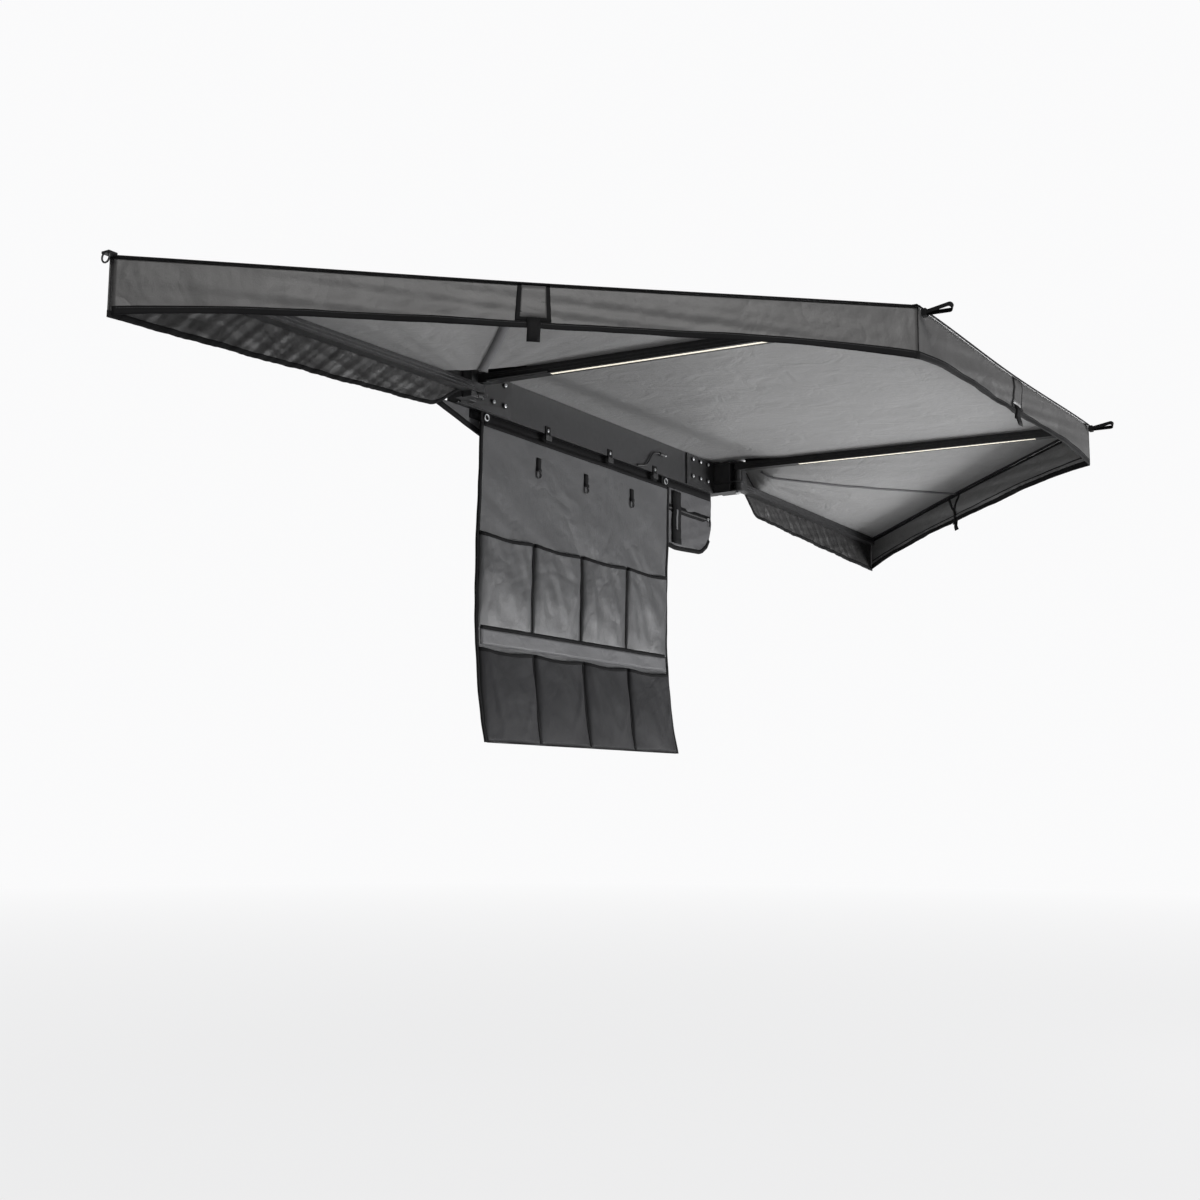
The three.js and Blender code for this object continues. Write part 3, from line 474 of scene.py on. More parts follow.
def finish(name):
    """The material of that name, made once from the colours in the panel."""
    key = f"awning_{name}"
    if key in bpy.data.materials:
        return bpy.data.materials[key]
    colours = bpy.context.scene.awning_colours
    makers = {
        "outside": lambda: cloth_material(
            key, colours.outside, crease=0.8, roughness=0.45, shine=0.5, folds=4.0),
        "inside": lambda: cloth_material(
            key, colours.inside, crease=0.4, roughness=0.42, sheen=0.0, shine=0.5, folds=9.0),
        "skirt": lambda: cloth_material(
            key, colours.skirt, crease=0.9, roughness=0.45, amount=0.3, shine=0.45, folds=4.5),
        "binding": lambda: cloth_material(
            key, colours.binding, threads=700, grid=350, grid_strength=0.8, crease=0.15,
            roughness=0.8, sheen=0.0, shine=0.15),
        "webbing": lambda: cloth_material(
            key, colours.webbing, threads=520, grid=260, grid_strength=1.0, crease=0.1, roughness=0.75),
        "organiser": lambda: cloth_material(
            key, colours.organiser, grid_strength=0.15, crease=0.8, roughness=0.42, shine=0.42, folds=3.2),
        "pocket": lambda: cloth_material(
            key, colours.pocket, crease=0.6, roughness=0.6, shine=0.2, folds=3.5),
        "band": lambda: cloth_material(
            key, colours.band, grid_strength=0.15, crease=0.4, roughness=0.5, shine=0.5),
        "cover": lambda: cloth_material(
            key, colours.cover, grid_strength=0.15, crease=0.8, roughness=0.5, shine=0.4, folds=5.0),
        "thread": lambda: cloth_material(key, THREAD_COLOUR, grid=900, crease=0.0),
        "arm": lambda: hard_material(
            key, colours.arm, (0.12, 0.12, 0.125), roughness=0.42, metallic=0.3, wear=0.35),
        "rail": lambda: hard_material(
            key, colours.rail, (0.1, 0.1, 0.105), roughness=0.5, wear=0.15, grain=1500, spread=0.08),
        "bracket": lambda: hard_material(
            key, colours.arm, (0.2, 0.2, 0.21), roughness=0.5, wear=0.4, grain=1200),
        "zinc": lambda: hard_material(
            key, colours.zinc, (0.75, 0.75, 0.76), roughness=0.3, metallic=1.0, wear=0.3, grain=400),
        "plastic": lambda: hard_material(
            key, colours.plastic, (0.1, 0.1, 0.1), roughness=0.5, wear=0.3),
        "light": lambda: light_material(key, colours.light),
    }
    return makers[name]()


# Mesh helpers
class Cut:
    """A piece of cloth with the flat size it was cut to."""

    def __init__(self, obj, width, length, area):
        self.obj = obj
        self.flat = (width, length)
        self.area = min(area, width * length)


def link_mesh(name, vertices, faces, materials):
    mesh = bpy.data.meshes.new(name)
    mesh.from_pydata([tuple(map(float, v)) for v in vertices], [], faces)
    for material in materials:
        mesh.materials.append(material)
    obj = bpy.data.objects.new(name, mesh)
    bpy.context.scene.collection.objects.link(obj)
    return obj


def grid_normals(points, facing):
    across = np.gradient(points, axis=0)
    along = np.gradient(points, axis=1)
    normals = np.cross(across, along)
    normals /= np.linalg.norm(normals, axis=2, keepdims=True) + 1e-12
    if np.sum(normals @ np.array(facing, float)) < 0:
        normals = -normals
    return normals


def run_length(points, axis):
    steps = np.linalg.norm(np.diff(points, axis=axis), axis=2)
    total = np.cumsum(steps, axis=axis)
    start = np.zeros_like(np.take(total, [0], axis=axis))
    return np.concatenate([start, total], axis=axis)


def cloth_piece(name, points, thickness, facing, front, back=None):
    """A thin closed cloth. The points are its back; its front stands off them on the facing side."""
    normals = grid_normals(points, facing)
    outer = points + normals * thickness
    columns, rows = points.shape[:2]
    vertices = np.concatenate([points.reshape(-1, 3), outer.reshape(-1, 3)])
    lift = columns * rows

    def number(i, j, side):
        return i * rows + j + side * lift

    turned = np.dot(np.cross(points[1, 0] - points[0, 0], points[0, 1] - points[0, 0]), normals[0, 0]) > 0
    faces = []
    kinds = []
    for i in range(columns - 1):
        for j in range(rows - 1):
            square = [(i, j), (i + 1, j), (i + 1, j + 1), (i, j + 1)]
            if not turned:
                square.reverse()
            faces.append([number(*corner, 1) for corner in square])
            faces.append([number(*corner, 0) for corner in reversed(square)])
            kinds += [0, 1]
    border = [(i, 0) for i in range(columns)] + [(columns - 1, j) for j in range(1, rows)]
    border += [(i, rows - 1) for i in range(columns - 2, -1, -1)] + [(0, j) for j in range(rows - 2, 0, -1)]
    if not turned:
        border.reverse()
    for k, here in enumerate(border):
        after = border[(k + 1) % len(border)]
        faces.append([number(*here, 0), number(*after, 0), number(*after, 1), number(*here, 1)])
        kinds.append(2)
    obj = link_mesh(name, vertices, faces, [front, back or front, front])
    mesh = obj.data
    mesh.polygons.foreach_set("material_index", kinds)
    mesh.polygons.foreach_set("use_smooth", [kind < 2 for kind in kinds])
    width = run_length(points, 0)
    length = run_length(points, 1)
    flat = np.stack([width, length], axis=-1).reshape(-1, 2)
    flat = np.concatenate([flat, flat])
    corners = np.zeros(len(mesh.loops), np.int32)
    mesh.loops.foreach_get("vertex_index", corners)
    layer = mesh.uv_layers.new(name="Cloth")
    layer.data.foreach_set("uv", flat[corners].astype(np.float32).ravel())
    square = np.cross(points[1:, :-1] - points[:-1, :-1], points[:-1, 1:] - points[:-1, :-1])
    area = float(np.linalg.norm(square, axis=2).sum())
    mesh.update()
    return Cut(obj, float(width[-1].max()), float(length[:, -1].max()), area)


def strip(name, middle_line, sideways, width, thickness, facing, material, rows=3):
    """A flat tape along a line, width wide in the sideways direction."""
    line = np.asarray(middle_line, float)
    side = np.broadcast_to(np.asarray(sideways, float), line.shape)
    shares = np.linspace(-0.5, 0.5, rows)
    points = line[:, None, :] + side[:, None, :] * (shares * width)[None, :, None]
    return cloth_piece(name, points, thickness, facing, material)


def dark_tape(name, line, sideways, width, thickness):
    """A strip of binding tape that faces forward."""
    return strip(name, line, sideways, width, thickness, FORWARD, finish("binding"))


def tube(name, path, radius, material, sides=10):
    """A round cord or rod with closed ends along a path."""
    path = np.asarray(path, float)
    ahead = np.gradient(path, axis=0)
    ahead /= np.linalg.norm(ahead, axis=1, keepdims=True)
    first = np.cross(ahead[0], (0.0, 0.0, 1.0))
    if np.linalg.norm(first) < 0.1:
        first = np.cross(ahead[0], (1.0, 0.0, 0.0))
    vertices = []
    side = first
    for place, way in zip(path, ahead):
        side = side - way * np.dot(side, way)
        side /= np.linalg.norm(side)
        other = np.cross(way, side)
        for k in range(sides):
            turn = 2 * math.pi * k / sides
            vertices.append(place + radius * (side * math.cos(turn) + other * math.sin(turn)))
    faces = []
    for i in range(len(path) - 1):
        for k in range(sides):
            n = (k + 1) % sides
            faces.append([i * sides + k, i * sides + n, (i + 1) * sides + n, (i + 1) * sides + k])
    faces.append(list(reversed(range(sides))))
    end = (len(path) - 1) * sides
    faces.append([end + k for k in range(sides)])
    obj = link_mesh(name, vertices, faces, [material])
    smooth = [True] * (len(faces) - 2) + [False, False]
    obj.data.polygons.foreach_set("use_smooth", smooth)
    return obj


def stitches(name, path, facing, pitch, material):
    """A row of short raised stitches along a path, standing on the surface that faces that way."""
    path = np.asarray(path, float)
    steps = np.linalg.norm(np.diff(path, axis=0), axis=1)
    total = np.concatenate([[0.0], np.cumsum(steps)])
    count = max(1, int(total[-1] / pitch))
    up = np.broadcast_to(np.asarray(facing, float), path.shape)
    vertices = []
    faces = []
    for k in range(count):
        ends = []
        for part in (0.18, 0.82):
            along = (k + part) * total[-1] / count
            place = np.array([np.interp(along, total, path[:, axis]) for axis in range(3)])
            out = np.array([np.interp(along, total, up[:, axis]) for axis in range(3)])
            ends.append((place, out / np.linalg.norm(out)))
        way = ends[1][0] - ends[0][0]
        way /= np.linalg.norm(way)
        start = len(vertices)
        for place, out in ends:
            side = np.cross(way, out) * 0.35 * MM
            vertices += [place - side, place + side, place + side + out * 0.5 * MM,
                         place - side + out * 0.5 * MM]
        a, b = start, start + 4
        faces += [[a, a + 1, a + 2, a + 3], [b + 3, b + 2, b + 1, b]]
        for n in range(4):
            m = (n + 1) % 4
            faces.append([a + n, b + n, b + m, a + m])
    obj = link_mesh(name, vertices, faces, [material])
    return obj


def block(name, low, high, material, bevel=0.0):
    """A box with softened edges."""
    (x0, y0, z0), (x1, y1, z1) = low, high
    vertices = [(x, y, z) for z in (z0, z1) for y in (y0, y1) for x in (x0, x1)]
    faces = [[0, 2, 3, 1], [4, 5, 7, 6], [0, 1, 5, 4], [2, 6, 7, 3], [0, 4, 6, 2], [1, 3, 7, 5]]
    obj = link_mesh(name, vertices, faces, [material])
    if bevel > 0:
        soften = obj.modifiers.new("Soften", "BEVEL")
        soften.width = bevel
        soften.segments = 3
    return obj


def lathe(name, centre, axis, profile, material, sides=24, hexagon=()):
    """A turned part. The profile is pairs of height along the axis and radius, in millimetres.

    The numbers in hexagon are the pairs whose ring has six sides.
    """
    turn = Vector((0, 0, 1)).rotation_difference(Vector(axis)).to_matrix().to_4x4()
    place = Matrix.Translation(Vector(centre)) @ turn
    vertices = []
    for n, (height, radius) in enumerate(profile):
        for k in range(sides):
            angle = 2 * math.pi * k / sides
            reach = radius * MM
            if n in hexagon:
                reach = reach / math.cos((angle + math.pi / 6) % (math.pi / 3) - math.pi / 6)
            vertices.append(place @ Vector((reach * math.cos(angle), reach * math.sin(angle), height * MM)))
    faces = [list(reversed(range(sides)))]
    for n in range(len(profile) - 1):
        for k in range(sides):
            m = (k + 1) % sides
            faces.append([n * sides + k, n * sides + m, (n + 1) * sides + m, (n + 1) * sides + k])
    last = (len(profile) - 1) * sides
    faces.append([last + k for k in range(sides)])
    return link_mesh(name, vertices, faces, [material])


def ring(name, centre, axis, radius, wire, material, sides=40):
    """A closed ring of round wire about an axis."""
    turn = Vector((0, 0, 1)).rotation_difference(Vector(axis)).to_matrix().to_4x4()
    place = Matrix.Translation(Vector(centre)) @ turn
    wire_sides = 12
    vertices = []
    for i in range(sides):
        a = 2 * math.pi * i / sides
        for k in range(wire_sides):
            b = 2 * math.pi * k / wire_sides
            reach = radius + wire * math.cos(b)
            vertices.append(place @ Vector((reach * math.cos(a), reach * math.sin(a), wire * math.sin(b))))
    faces = []
    for i in range(sides):
        for k in range(wire_sides):
            n, m = (i + 1) % sides, (k + 1) % wire_sides
            faces.append([i * wire_sides + k, n * wire_sides + k, n * wire_sides + m, i * wire_sides + m])
    obj = link_mesh(name, vertices, faces, [material])
    obj.data.polygons.foreach_set("use_smooth", [True] * len(faces))
    return obj


def mesh_grid(columns, rows, across=(0, 1), along=(0, 1)):
    """Two arrays of shares, one across a surface and one along it."""
    return np.meshgrid(np.linspace(*across, columns + 1), np.linspace(*along, rows + 1), indexing="ij")


def beside(line, up):
    """Directions square to a line and to up, one for each of its points."""
    sideways = np.cross(np.gradient(line, axis=0), up)
    return sideways / np.linalg.norm(sideways, axis=1, keepdims=True)


def object_of(piece):
    """The Blender object of a piece, which may be a plain object or a cut cloth."""
    return piece.obj if isinstance(piece, Cut) else piece


def ride_all(pieces, body):
    for piece in pieces:
        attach(object_of(piece), body)


def fan(piece, side_name):
    """Bakes a wing piece's placement into its mesh. It also works out the angle between the two arms about
    the hinge, which nothing uses.
    """
    obj = object_of(piece)
    inner = ARMS[f"centre_{side_name}"]
    outer = ARMS[f"outer_{side_name}"]
    start = inner.point(inner.length, 0.0, 0.0)
    end = outer.point(outer.length, 0.0, 0.0)
    Vector(start)
    Vector(end)
    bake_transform(obj)

    def angle(way):
        cross = inner.direction[0] * way[..., 1] - inner.direction[1] * way[..., 0]
        return np.arctan2(cross, way @ inner.direction)

    whole = float(angle(outer.direction))


def gather(piece):
    """Parents a piece of the centre panel to the frame and gives it a mesh of its own."""
    obj = object_of(piece)
    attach(obj, FRAME)
    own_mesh(obj)


# The canopy's surfaces
CENTRE_WAVE = 2.6 * MM
CENTRE_CROSS_WAVE = 1.6 * MM
WING_WAVE = 2.8 * MM
WING_CROSS_WAVE = 1.4 * MM
HEM_SHARES = (0.972, 0.99)
EDGE_COLUMNS = 80
ARM_STEPS = 60
PIPING_RADIUS = 2.2 * MM
OUTER_PIPING_RADIUS = 2.4 * MM
STRAP_SHARE = 0.515
STRAP_ENDS = (0.05, 0.985)
STRAP_WIDTH = 25 * MM
STRAP_GAP = 0.4 * MM
ARM_TAPE_WIDTH = 26 * MM
# Thicknesses of the sewn tapes
TAPE = 0.7 * MM
THIN_TAPE = 0.6 * MM
HEM_TAPE = 0.8 * MM
ARM_TAPE = 0.9 * MM
TAPE_GAP = 0.1 * MM


def centre_point(u, v):
    """The centre panel: across from the left arm to the right, out from the rail to the front edge."""
    sizes = bpy.context.scene.awning_sizes
    left, right = ARMS["centre_left"], ARMS["centre_right"]
    arm_share = (ARM_WIDTH + OVERHANG) / (2 * float(left.point(left.length, 0, 0)[0] * -1))
    ends = []
    for arm, offset in ((left, -CLOTH_EDGE), (right, CLOTH_EDGE)):
        start = arm.pivot[1] + RAIL_REST / 3
        distance = lerp(start, arm.length + OVERHANG, v)
        ends.append(arm.point(distance, offset, arm.cloth(distance)))
    between = np.clip((u - arm_share) / (1 - 2 * arm_share), 0.0, 1.0)
    point = lerp(ends[0], ends[1], u[..., None])
    point[..., 2] = lerp(ends[0][..., 2], ends[1][..., 2], between)
    hollow = np.sin(math.pi * between) ** 2
    point[..., 2] -= sizes.panel_sag * hollow * np.sin(math.pi * v) ** 2
    pull = np.sin(math.pi * between) * np.sin(math.pi * np.clip(v, 0, 1)) ** 0.5
    point[..., 2] += CENTRE_WAVE * pull * ripple(1.3, u + 0.1 * v, 5) * (1.3 - v)
    point[..., 2] += CENTRE_CROSS_WAVE * pull * ripple(4.1, 0.8 * u - 1.3 * v, 6) * (1 - v)
    point[..., 1] += sizes.edge_bow * hollow * v ** 4
    return point


def wing_point(side_name, u, v):
    """A wing: across from the centre arm to the outer arm, out from the hinge to the front edge."""
    sizes = bpy.context.scene.awning_sizes
    side = SIDES[side_name]
    inner, outer = ARMS[f"centre_{side_name}"], ARMS[f"outer_{side_name}"]
    ends = []
    for arm, offset in ((inner, side * WING_OFFSET), (outer, side * CLOTH_EDGE)):
        distance = lerp(CANOPY_START, arm.length + OVERHANG, v)
        ends.append(arm.point(distance, offset, arm.cloth(distance)))
    point = lerp(ends[0], ends[1], u[..., None])
    hollow = np.sin(math.pi * u) ** 2
    inward = inner.pivot - point[..., :2]
    reach = np.linalg.norm(inward, axis=-1)
    bow = sizes.edge_bow * hollow * v ** 4 / reach
    point[..., :2] += inward * bow[..., None]
    point[..., 2] -= sizes.wing_sag * hollow * v * (1 - v) * 4 * (1 - v / 2)
    pull = np.sin(math.pi * u) * np.sin(math.pi * np.clip(v, 0, 1))
    point[..., 2] += WING_WAVE * pull * ripple(2.1 + side, u, 6)
    point[..., 2] += WING_CROSS_WAVE * pull * ripple(3.7 + side, u - 0.9 * v, 4)
    return point


def edge_of(name):
    """The front edge of a panel, as a function that gives the points for shares along it."""
    if name == "front":
        return lambda u: centre_point(u, np.ones_like(u))
    return lambda u: wing_point(name, u, np.ones_like(u))


def edge_piping(name, panel, sizes):
    """Round piping along the front edge of a panel."""
    line = edge_of(panel)(np.linspace(0, 1, EDGE_COLUMNS + 1)) + (0, 0, sizes.cloth / 2)
    return tube(name, line, PIPING_RADIUS, finish("binding"))


def edge_tape(name, surface):
    """Seam tape under a panel, just inside its front edge."""
    points = surface(*mesh_grid(EDGE_COLUMNS, 3, along=HEM_SHARES)) - (0, 0, TAPE_GAP)
    return cloth_piece(name, points, HEM_TAPE, DOWN, finish("binding"))


# Valances and skirts
FRONT_CORNER = 2.6 * MM
TIP_CORNER = 7.0 * MM
VALANCE_INSET = 6 * MM
VALANCE_FOLD = 3.6 * MM
VALANCE_CRUMPLE = 1.0 * MM
VALANCE_DRAW = 6.0 * MM
SKIRT_FOLD = 4.5 * MM
SKIRT_CRUMPLE = 2.6 * MM
SKIRT_DRAW = 2.4 * MM
HANGING_GRID = {"valance": (220, 16), "skirt": (240, 16)}
SEAM_RADIUS = 1.7 * MM
SKIRT_HEM = (0.9, 1.015)
STITCH_PITCH = 5 * MM
STITCH_STEPS = 400
FLAP_SHARES = {"front": 0.53, "left": 0.505, "right": 0.53}
FLAP_HALF = 36 * MM
FLAP_BORDER = 9 * MM
FLAP_THICKNESS = 1.2 * MM
FLAP_FOOT = 0.85
TAB_HALF = 15 * MM
TAB_DROP = 32 * MM
V_SPREAD = 45 * MM
V_DOWNS = (0.04, 0.62)
V_WIDTH = 13 * MM
INNER_TAB_HALF = 9 * MM
INNER_TAB_DROP = 12 * MM


class Valance:
    """The hanging edge of one panel.

    A point on it is given by its share along, its share down and its distance off the inner face.
    """

    def __init__(self, name, waves, seed):
        self.name = name
        self.waves = waves
        self.seed = seed
        self.edge = edge_of(name)
        ends = self.edge(np.array([0.0, 1.0]))
        run = ends[1, :2] - ends[0, :2]
        self.length = float(np.hypot(*run))
        run = run / self.length
        outward = np.array((run[1], -run[0], 0.0))
        if outward @ ends[0] < 0:
            outward = -outward
        self.outward = outward

    def depth(self, u):
        """How deep the valance hangs at a share along its panel's edge."""
        sizes = bpy.context.scene.awning_sizes
        return sizes.valance_middle + sizes.valance_corner * (2 * u - 1) ** 4

    def point(self, share, down, off=0.0):
        far = FRONT_CORNER if self.name == "front" else TIP_CORNER
        u = lerp(FRONT_CORNER / self.length, 1 - far / self.length, share)
        share, down, u = np.broadcast_arrays(share, down, u)
        point = self.edge(u.copy())
        held = np.sin(math.pi * np.clip(share, 0, 1)) ** 0.5
        loose = np.clip(down, 0, 1.2)
        fold = VALANCE_FOLD * ripple(self.seed, share + 0.03 * down, self.waves) * loose
        fine = VALANCE_CRUMPLE * ripple(self.seed + 4, share - 0.12 * down, self.waves * 3.1) * np.sqrt(loose)
        drawn = VALANCE_DRAW * ripple(self.seed + 7, down * 1.1 + share * 1.7, 1.6) * np.sqrt(loose)
        out = held * (fold + fine + drawn) - VALANCE_INSET + off
        point = point + out[..., None] * self.outward
        point[..., 2] -= CLOTH_GAP + down * self.depth(u)
        return point

    def follow(self, piece):
        if self.name == "front":
            gather(piece)
        else:
            fan(piece, self.name)


# Each valance's panel, its number of folds and its seed
VALANCES = (("front", 6, 0.4), ("left", 8, 1.9), ("right", 8, 3.2))
SKIRT_SEEDS = {"left": 0.9, "right": 2.6}


class Skirt:
    """The gathered cloth behind an outer arm, as a surface like a valance's."""

    def __init__(self, side_name, seed):
        self.name = side_name
        self.side = SIDES[side_name]
        self.seed = seed
        self.arm = ARMS[f"outer_{side_name}"]
        self.outward = np.append(self.arm.normal * self.side, 0.0)

    def point(self, share, down, off=0.0):
        sizes = bpy.context.scene.awning_sizes
        share, down = np.broadcast_arrays(np.asarray(share, float), np.asarray(down, float))
        arm = self.arm
        distance = lerp(CANOPY_START, arm.length + OVERHANG, share)
        depth = lerp(sizes.skirt_hinge, sizes.skirt_tip, share)
        held = np.sin(math.pi * np.clip(share, 0, 1)) ** 0.5
        loose = np.clip(down, 0, 1.2)
        swell = SKIRT_FOLD * (1 + ripple(self.seed, share + 0.05 * down, 8)) * loose
        crumple = SKIRT_CRUMPLE * (1 + ripple(self.seed + 2, share - 0.11 * down, 31)) * np.sqrt(loose)
        crumple = crumple + SKIRT_DRAW * ripple(self.seed + 5, down * 1.3 + share * 3.1, 2.4) * loose
        out = CLOTH_EDGE + CLOTH_GAP + held * (swell + crumple) + off
        return arm.point(distance, self.side * out, arm.cloth(distance) - depth * down)


# Operators
class Builder:
    """What every piece's operator shares: it runs its build and reports a piece it can't make."""

    bl_options = {"REGISTER", "UNDO"}

    def execute(self, context):
        made = self.build(context)
        if not made:
            raise RuntimeError(f"{self.bl_label} made no piece")
        return {"FINISHED"}


class AWNING_OT_centre(Builder, bpy.types.Operator):
    """Centre panel of the canopy between the two lit arms"""

    bl_idname = "awning.centre"
    bl_label = "Centre panel"

    def build(self, context):
        sizes = context.scene.awning_sizes
        panel = cloth_piece("canopy_centre_cloth", centre_point(*mesh_grid(80, 72)), sizes.cloth, UP,
                            finish("outside"), back=finish("inside"))
        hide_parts("canopy_centre")
        piping = edge_piping("front_piping", "front", sizes)
        hem = edge_tape("front_seam_tape", centre_point)
        for piece in (panel, piping, hem):
            gather(piece)
        return [panel, piping, hem]


class AWNING_OT_wings(Builder, bpy.types.Operator):
    """The two triangular side panels, their radial straps and the piping on their edges"""

    bl_idname = "awning.wings"
    bl_label = "Side panels"

    def build(self, context):
        sizes = context.scene.awning_sizes
        made = []
        for name, side in SIDES.items():
            u, v = mesh_grid(72, 64)
            wing = cloth_piece(f"canopy_wing_{name}_cloth", wing_point(name, u, v), sizes.cloth,
                               UP, finish("outside"), back=finish("inside"))
            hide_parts(f"canopy_wing_{name}")
            piping = edge_piping(f"wing_piping_{name}", name, sizes)
            strap = self.strap(name, sizes)
            hem = edge_tape(f"wing_seam_tape_{name}", lambda u, v: wing_point(name, u, v))
            for piece in (wing, piping, strap, hem):
                fan(piece, name)
            made += [wing, piping, strap, hem]
            made += self.arm_tapes(name, side, sizes)
        return made

    def strap(self, name, sizes):
        """The radial webbing strap under the middle of a wing."""
        line = wing_point(name, np.full(ARM_STEPS, STRAP_SHARE), np.linspace(*STRAP_ENDS, ARM_STEPS))
        return strip(f"wing_strap_{name}", line - (0, 0, STRAP_GAP), beside(line, UP), STRAP_WIDTH,
                     sizes.webbing / 2, DOWN, finish("webbing"))

    def arm_tapes(self, name, side, sizes):
        """Seam tape over the centre arm, and piping down the outer arm's edge."""
        inner, outer = ARMS[f"centre_{name}"], ARMS[f"outer_{name}"]
        distance = np.linspace(CANOPY_START, inner.length + OVERHANG, ARM_STEPS)
        line = inner.point(distance, side * CLOTH_EDGE, inner.cloth(distance) + sizes.cloth + CLOTH_GAP)
        tape = strip(f"arm_seam_tape_{name}", line, np.append(inner.normal, 0.0), ARM_TAPE_WIDTH, ARM_TAPE,
                     UP, finish("binding"), rows=5)
        distance = np.linspace(CANOPY_START, outer.length + OVERHANG, ARM_STEPS)
        line = outer.point(distance, side * CLOTH_EDGE, outer.cloth(distance) + sizes.cloth / 2)
        piping = tube(f"outer_piping_{name}", line, OUTER_PIPING_RADIUS, finish("binding"))
        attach(tape.obj, f"{name}_centre_arm")
        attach(piping, f"{name}_outer_arm")
        return [tape, piping]


class AWNING_OT_valances(Builder, bpy.types.Operator):
    """The three hanging edges with their bindings, hems, flaps and tabs"""

    bl_idname = "awning.valances"
    bl_label = "Valances"

    def build(self, context):
        sizes = context.scene.awning_sizes
        made = []
        for name, waves, seed in VALANCES:
            valance = Valance(name, waves, seed)
            u, v = mesh_grid(*HANGING_GRID["valance"])
            cloth = cloth_piece(f"valance_{name}_cloth", valance.point(u, v), sizes.cloth,
                                valance.outward, finish("outside"), back=finish("inside"))
            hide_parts(f"valance_{name}")
            trims = self.bindings(valance, sizes) + self.flap(valance, sizes)
            for piece in [cloth, *trims]:
                valance.follow(piece)
            [object_of(piece) for piece in trims]
            made += [cloth, *trims]
        for name in SIDES:
            made.append(self.corner_seam(name, sizes))
        return made

    def corner_seam(self, name, sizes):
        """The piped seam where the front and side valances meet at the end of a centre arm."""
        down = np.linspace(0.0, 1.0, 12)
        ends = []
        for panel, share in ((name, 0.0), ("front", 0.0 if name == "left" else 1.0)):
            settings = next(entry for entry in VALANCES if entry[0] == panel)
            ends.append(Valance(*settings).point(np.full(12, share), down, sizes.cloth / 2))
        seam = tube(f"corner_seam_{name}", (ends[0] + ends[1]) / 2, SEAM_RADIUS, finish("binding"))
        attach(seam, f"{name}_centre_arm")
        return seam

    def patch(self, valance, label, shares, downs, off, thickness, material, slot="valance", facing=1):
        """A piece lying on the valance between two shares along it and two down it."""
        columns = max(3, int(abs(shares[1] - shares[0]) * HANGING_GRID["valance"][0]))
        u, v = mesh_grid(columns, 4, shares, downs)
        return cloth_piece(f"{label}_{valance.name}", valance.point(u, v, off), thickness,
                           valance.outward * facing, material)

    def bindings(self, valance, sizes):
        """Folded tape on the lower edge with its stitches, and two tapes on the inner face."""
        dark = finish("binding")
        around = sizes.cloth + 2 * TAPE
        low = sizes.binding / sizes.valance_middle
        end = sizes.binding / valance.length
        between = (end, 1 - end)
        pieces = [
            self.patch(valance, "hem_binding", (0.0, 1.0), (1.0 - low, 1.02), -TAPE, around, dark),
            self.patch(valance, "inner_top_tape", between, (0.01, 0.085), -TAPE_GAP, TAPE, dark, facing=-1),
            self.patch(valance, "inner_hem_line", between, (0.74, 0.775), -TAPE_GAP, THIN_TAPE, dark,
                       facing=-1),
        ]
        share = np.linspace(0.004, 0.996, STITCH_STEPS)
        path = valance.point(share, np.full(STITCH_STEPS, 1.0 - low * 0.72), sizes.cloth + TAPE)
        pieces.append(stitches(f"hem_stitches_{valance.name}", path, valance.outward, STITCH_PITCH,
                               finish("thread")))
        return pieces

    def flap(self, valance, sizes):
        """A stiffened flap over the outside at the middle, with a tab below it and a webbing V inside."""
        middle_share = FLAP_SHARES[valance.name]
        half = FLAP_HALF / valance.length
        pieces = []
        for label, edge, off, thick, material in (
                ("flap_border", 0.0, sizes.cloth + CLOTH_GAP, FLAP_THICKNESS, "binding"),
                ("flap_face", FLAP_BORDER, sizes.cloth + CLOTH_GAP + FLAP_THICKNESS, HEM_TAPE, "outside")):
            rise = edge / sizes.valance_middle
            across, down = mesh_grid(16, 6, (-1, 1), (rise * 0.3, FLAP_FOOT - rise))
            wide = (half - edge / valance.length) * (1 + 0.16 * down)
            points = valance.point(middle_share + across * wide, down, off)
            pieces.append(cloth_piece(f"{label}_{valance.name}", points, thick, valance.outward,
                                      finish(material)))
        dark = finish("binding")
        tab = TAB_HALF / valance.length
        drop = 1 + TAB_DROP / sizes.valance_middle
        pieces.append(self.patch(valance, "flap_tab", (middle_share - tab, middle_share + tab),
                                 (0.78, drop), sizes.cloth + 2.6 * MM, sizes.webbing, dark, "webbing"))
        spread = V_SPREAD / valance.length
        top, foot = V_DOWNS
        for label, way in (("a", -1), ("b", 1)):
            down = np.linspace(top, foot, 24)
            share = middle_share + way * spread * (1 - (down - top) / (foot - top))
            line = valance.point(share, down, -0.2 * MM)
            pieces.append(strip(f"inner_v_{label}_{valance.name}", line, beside(line, valance.outward),
                                V_WIDTH, sizes.webbing / 2, -valance.outward, dark))
        narrow = INNER_TAB_HALF / valance.length
        pieces.append(self.patch(valance, "inner_tab", (middle_share - narrow, middle_share + narrow),
                                 (0.60, 1.0 + INNER_TAB_DROP / sizes.valance_middle), -1.4 * MM,
                                 sizes.webbing / 2, dark, "webbing", facing=-1))
        return pieces


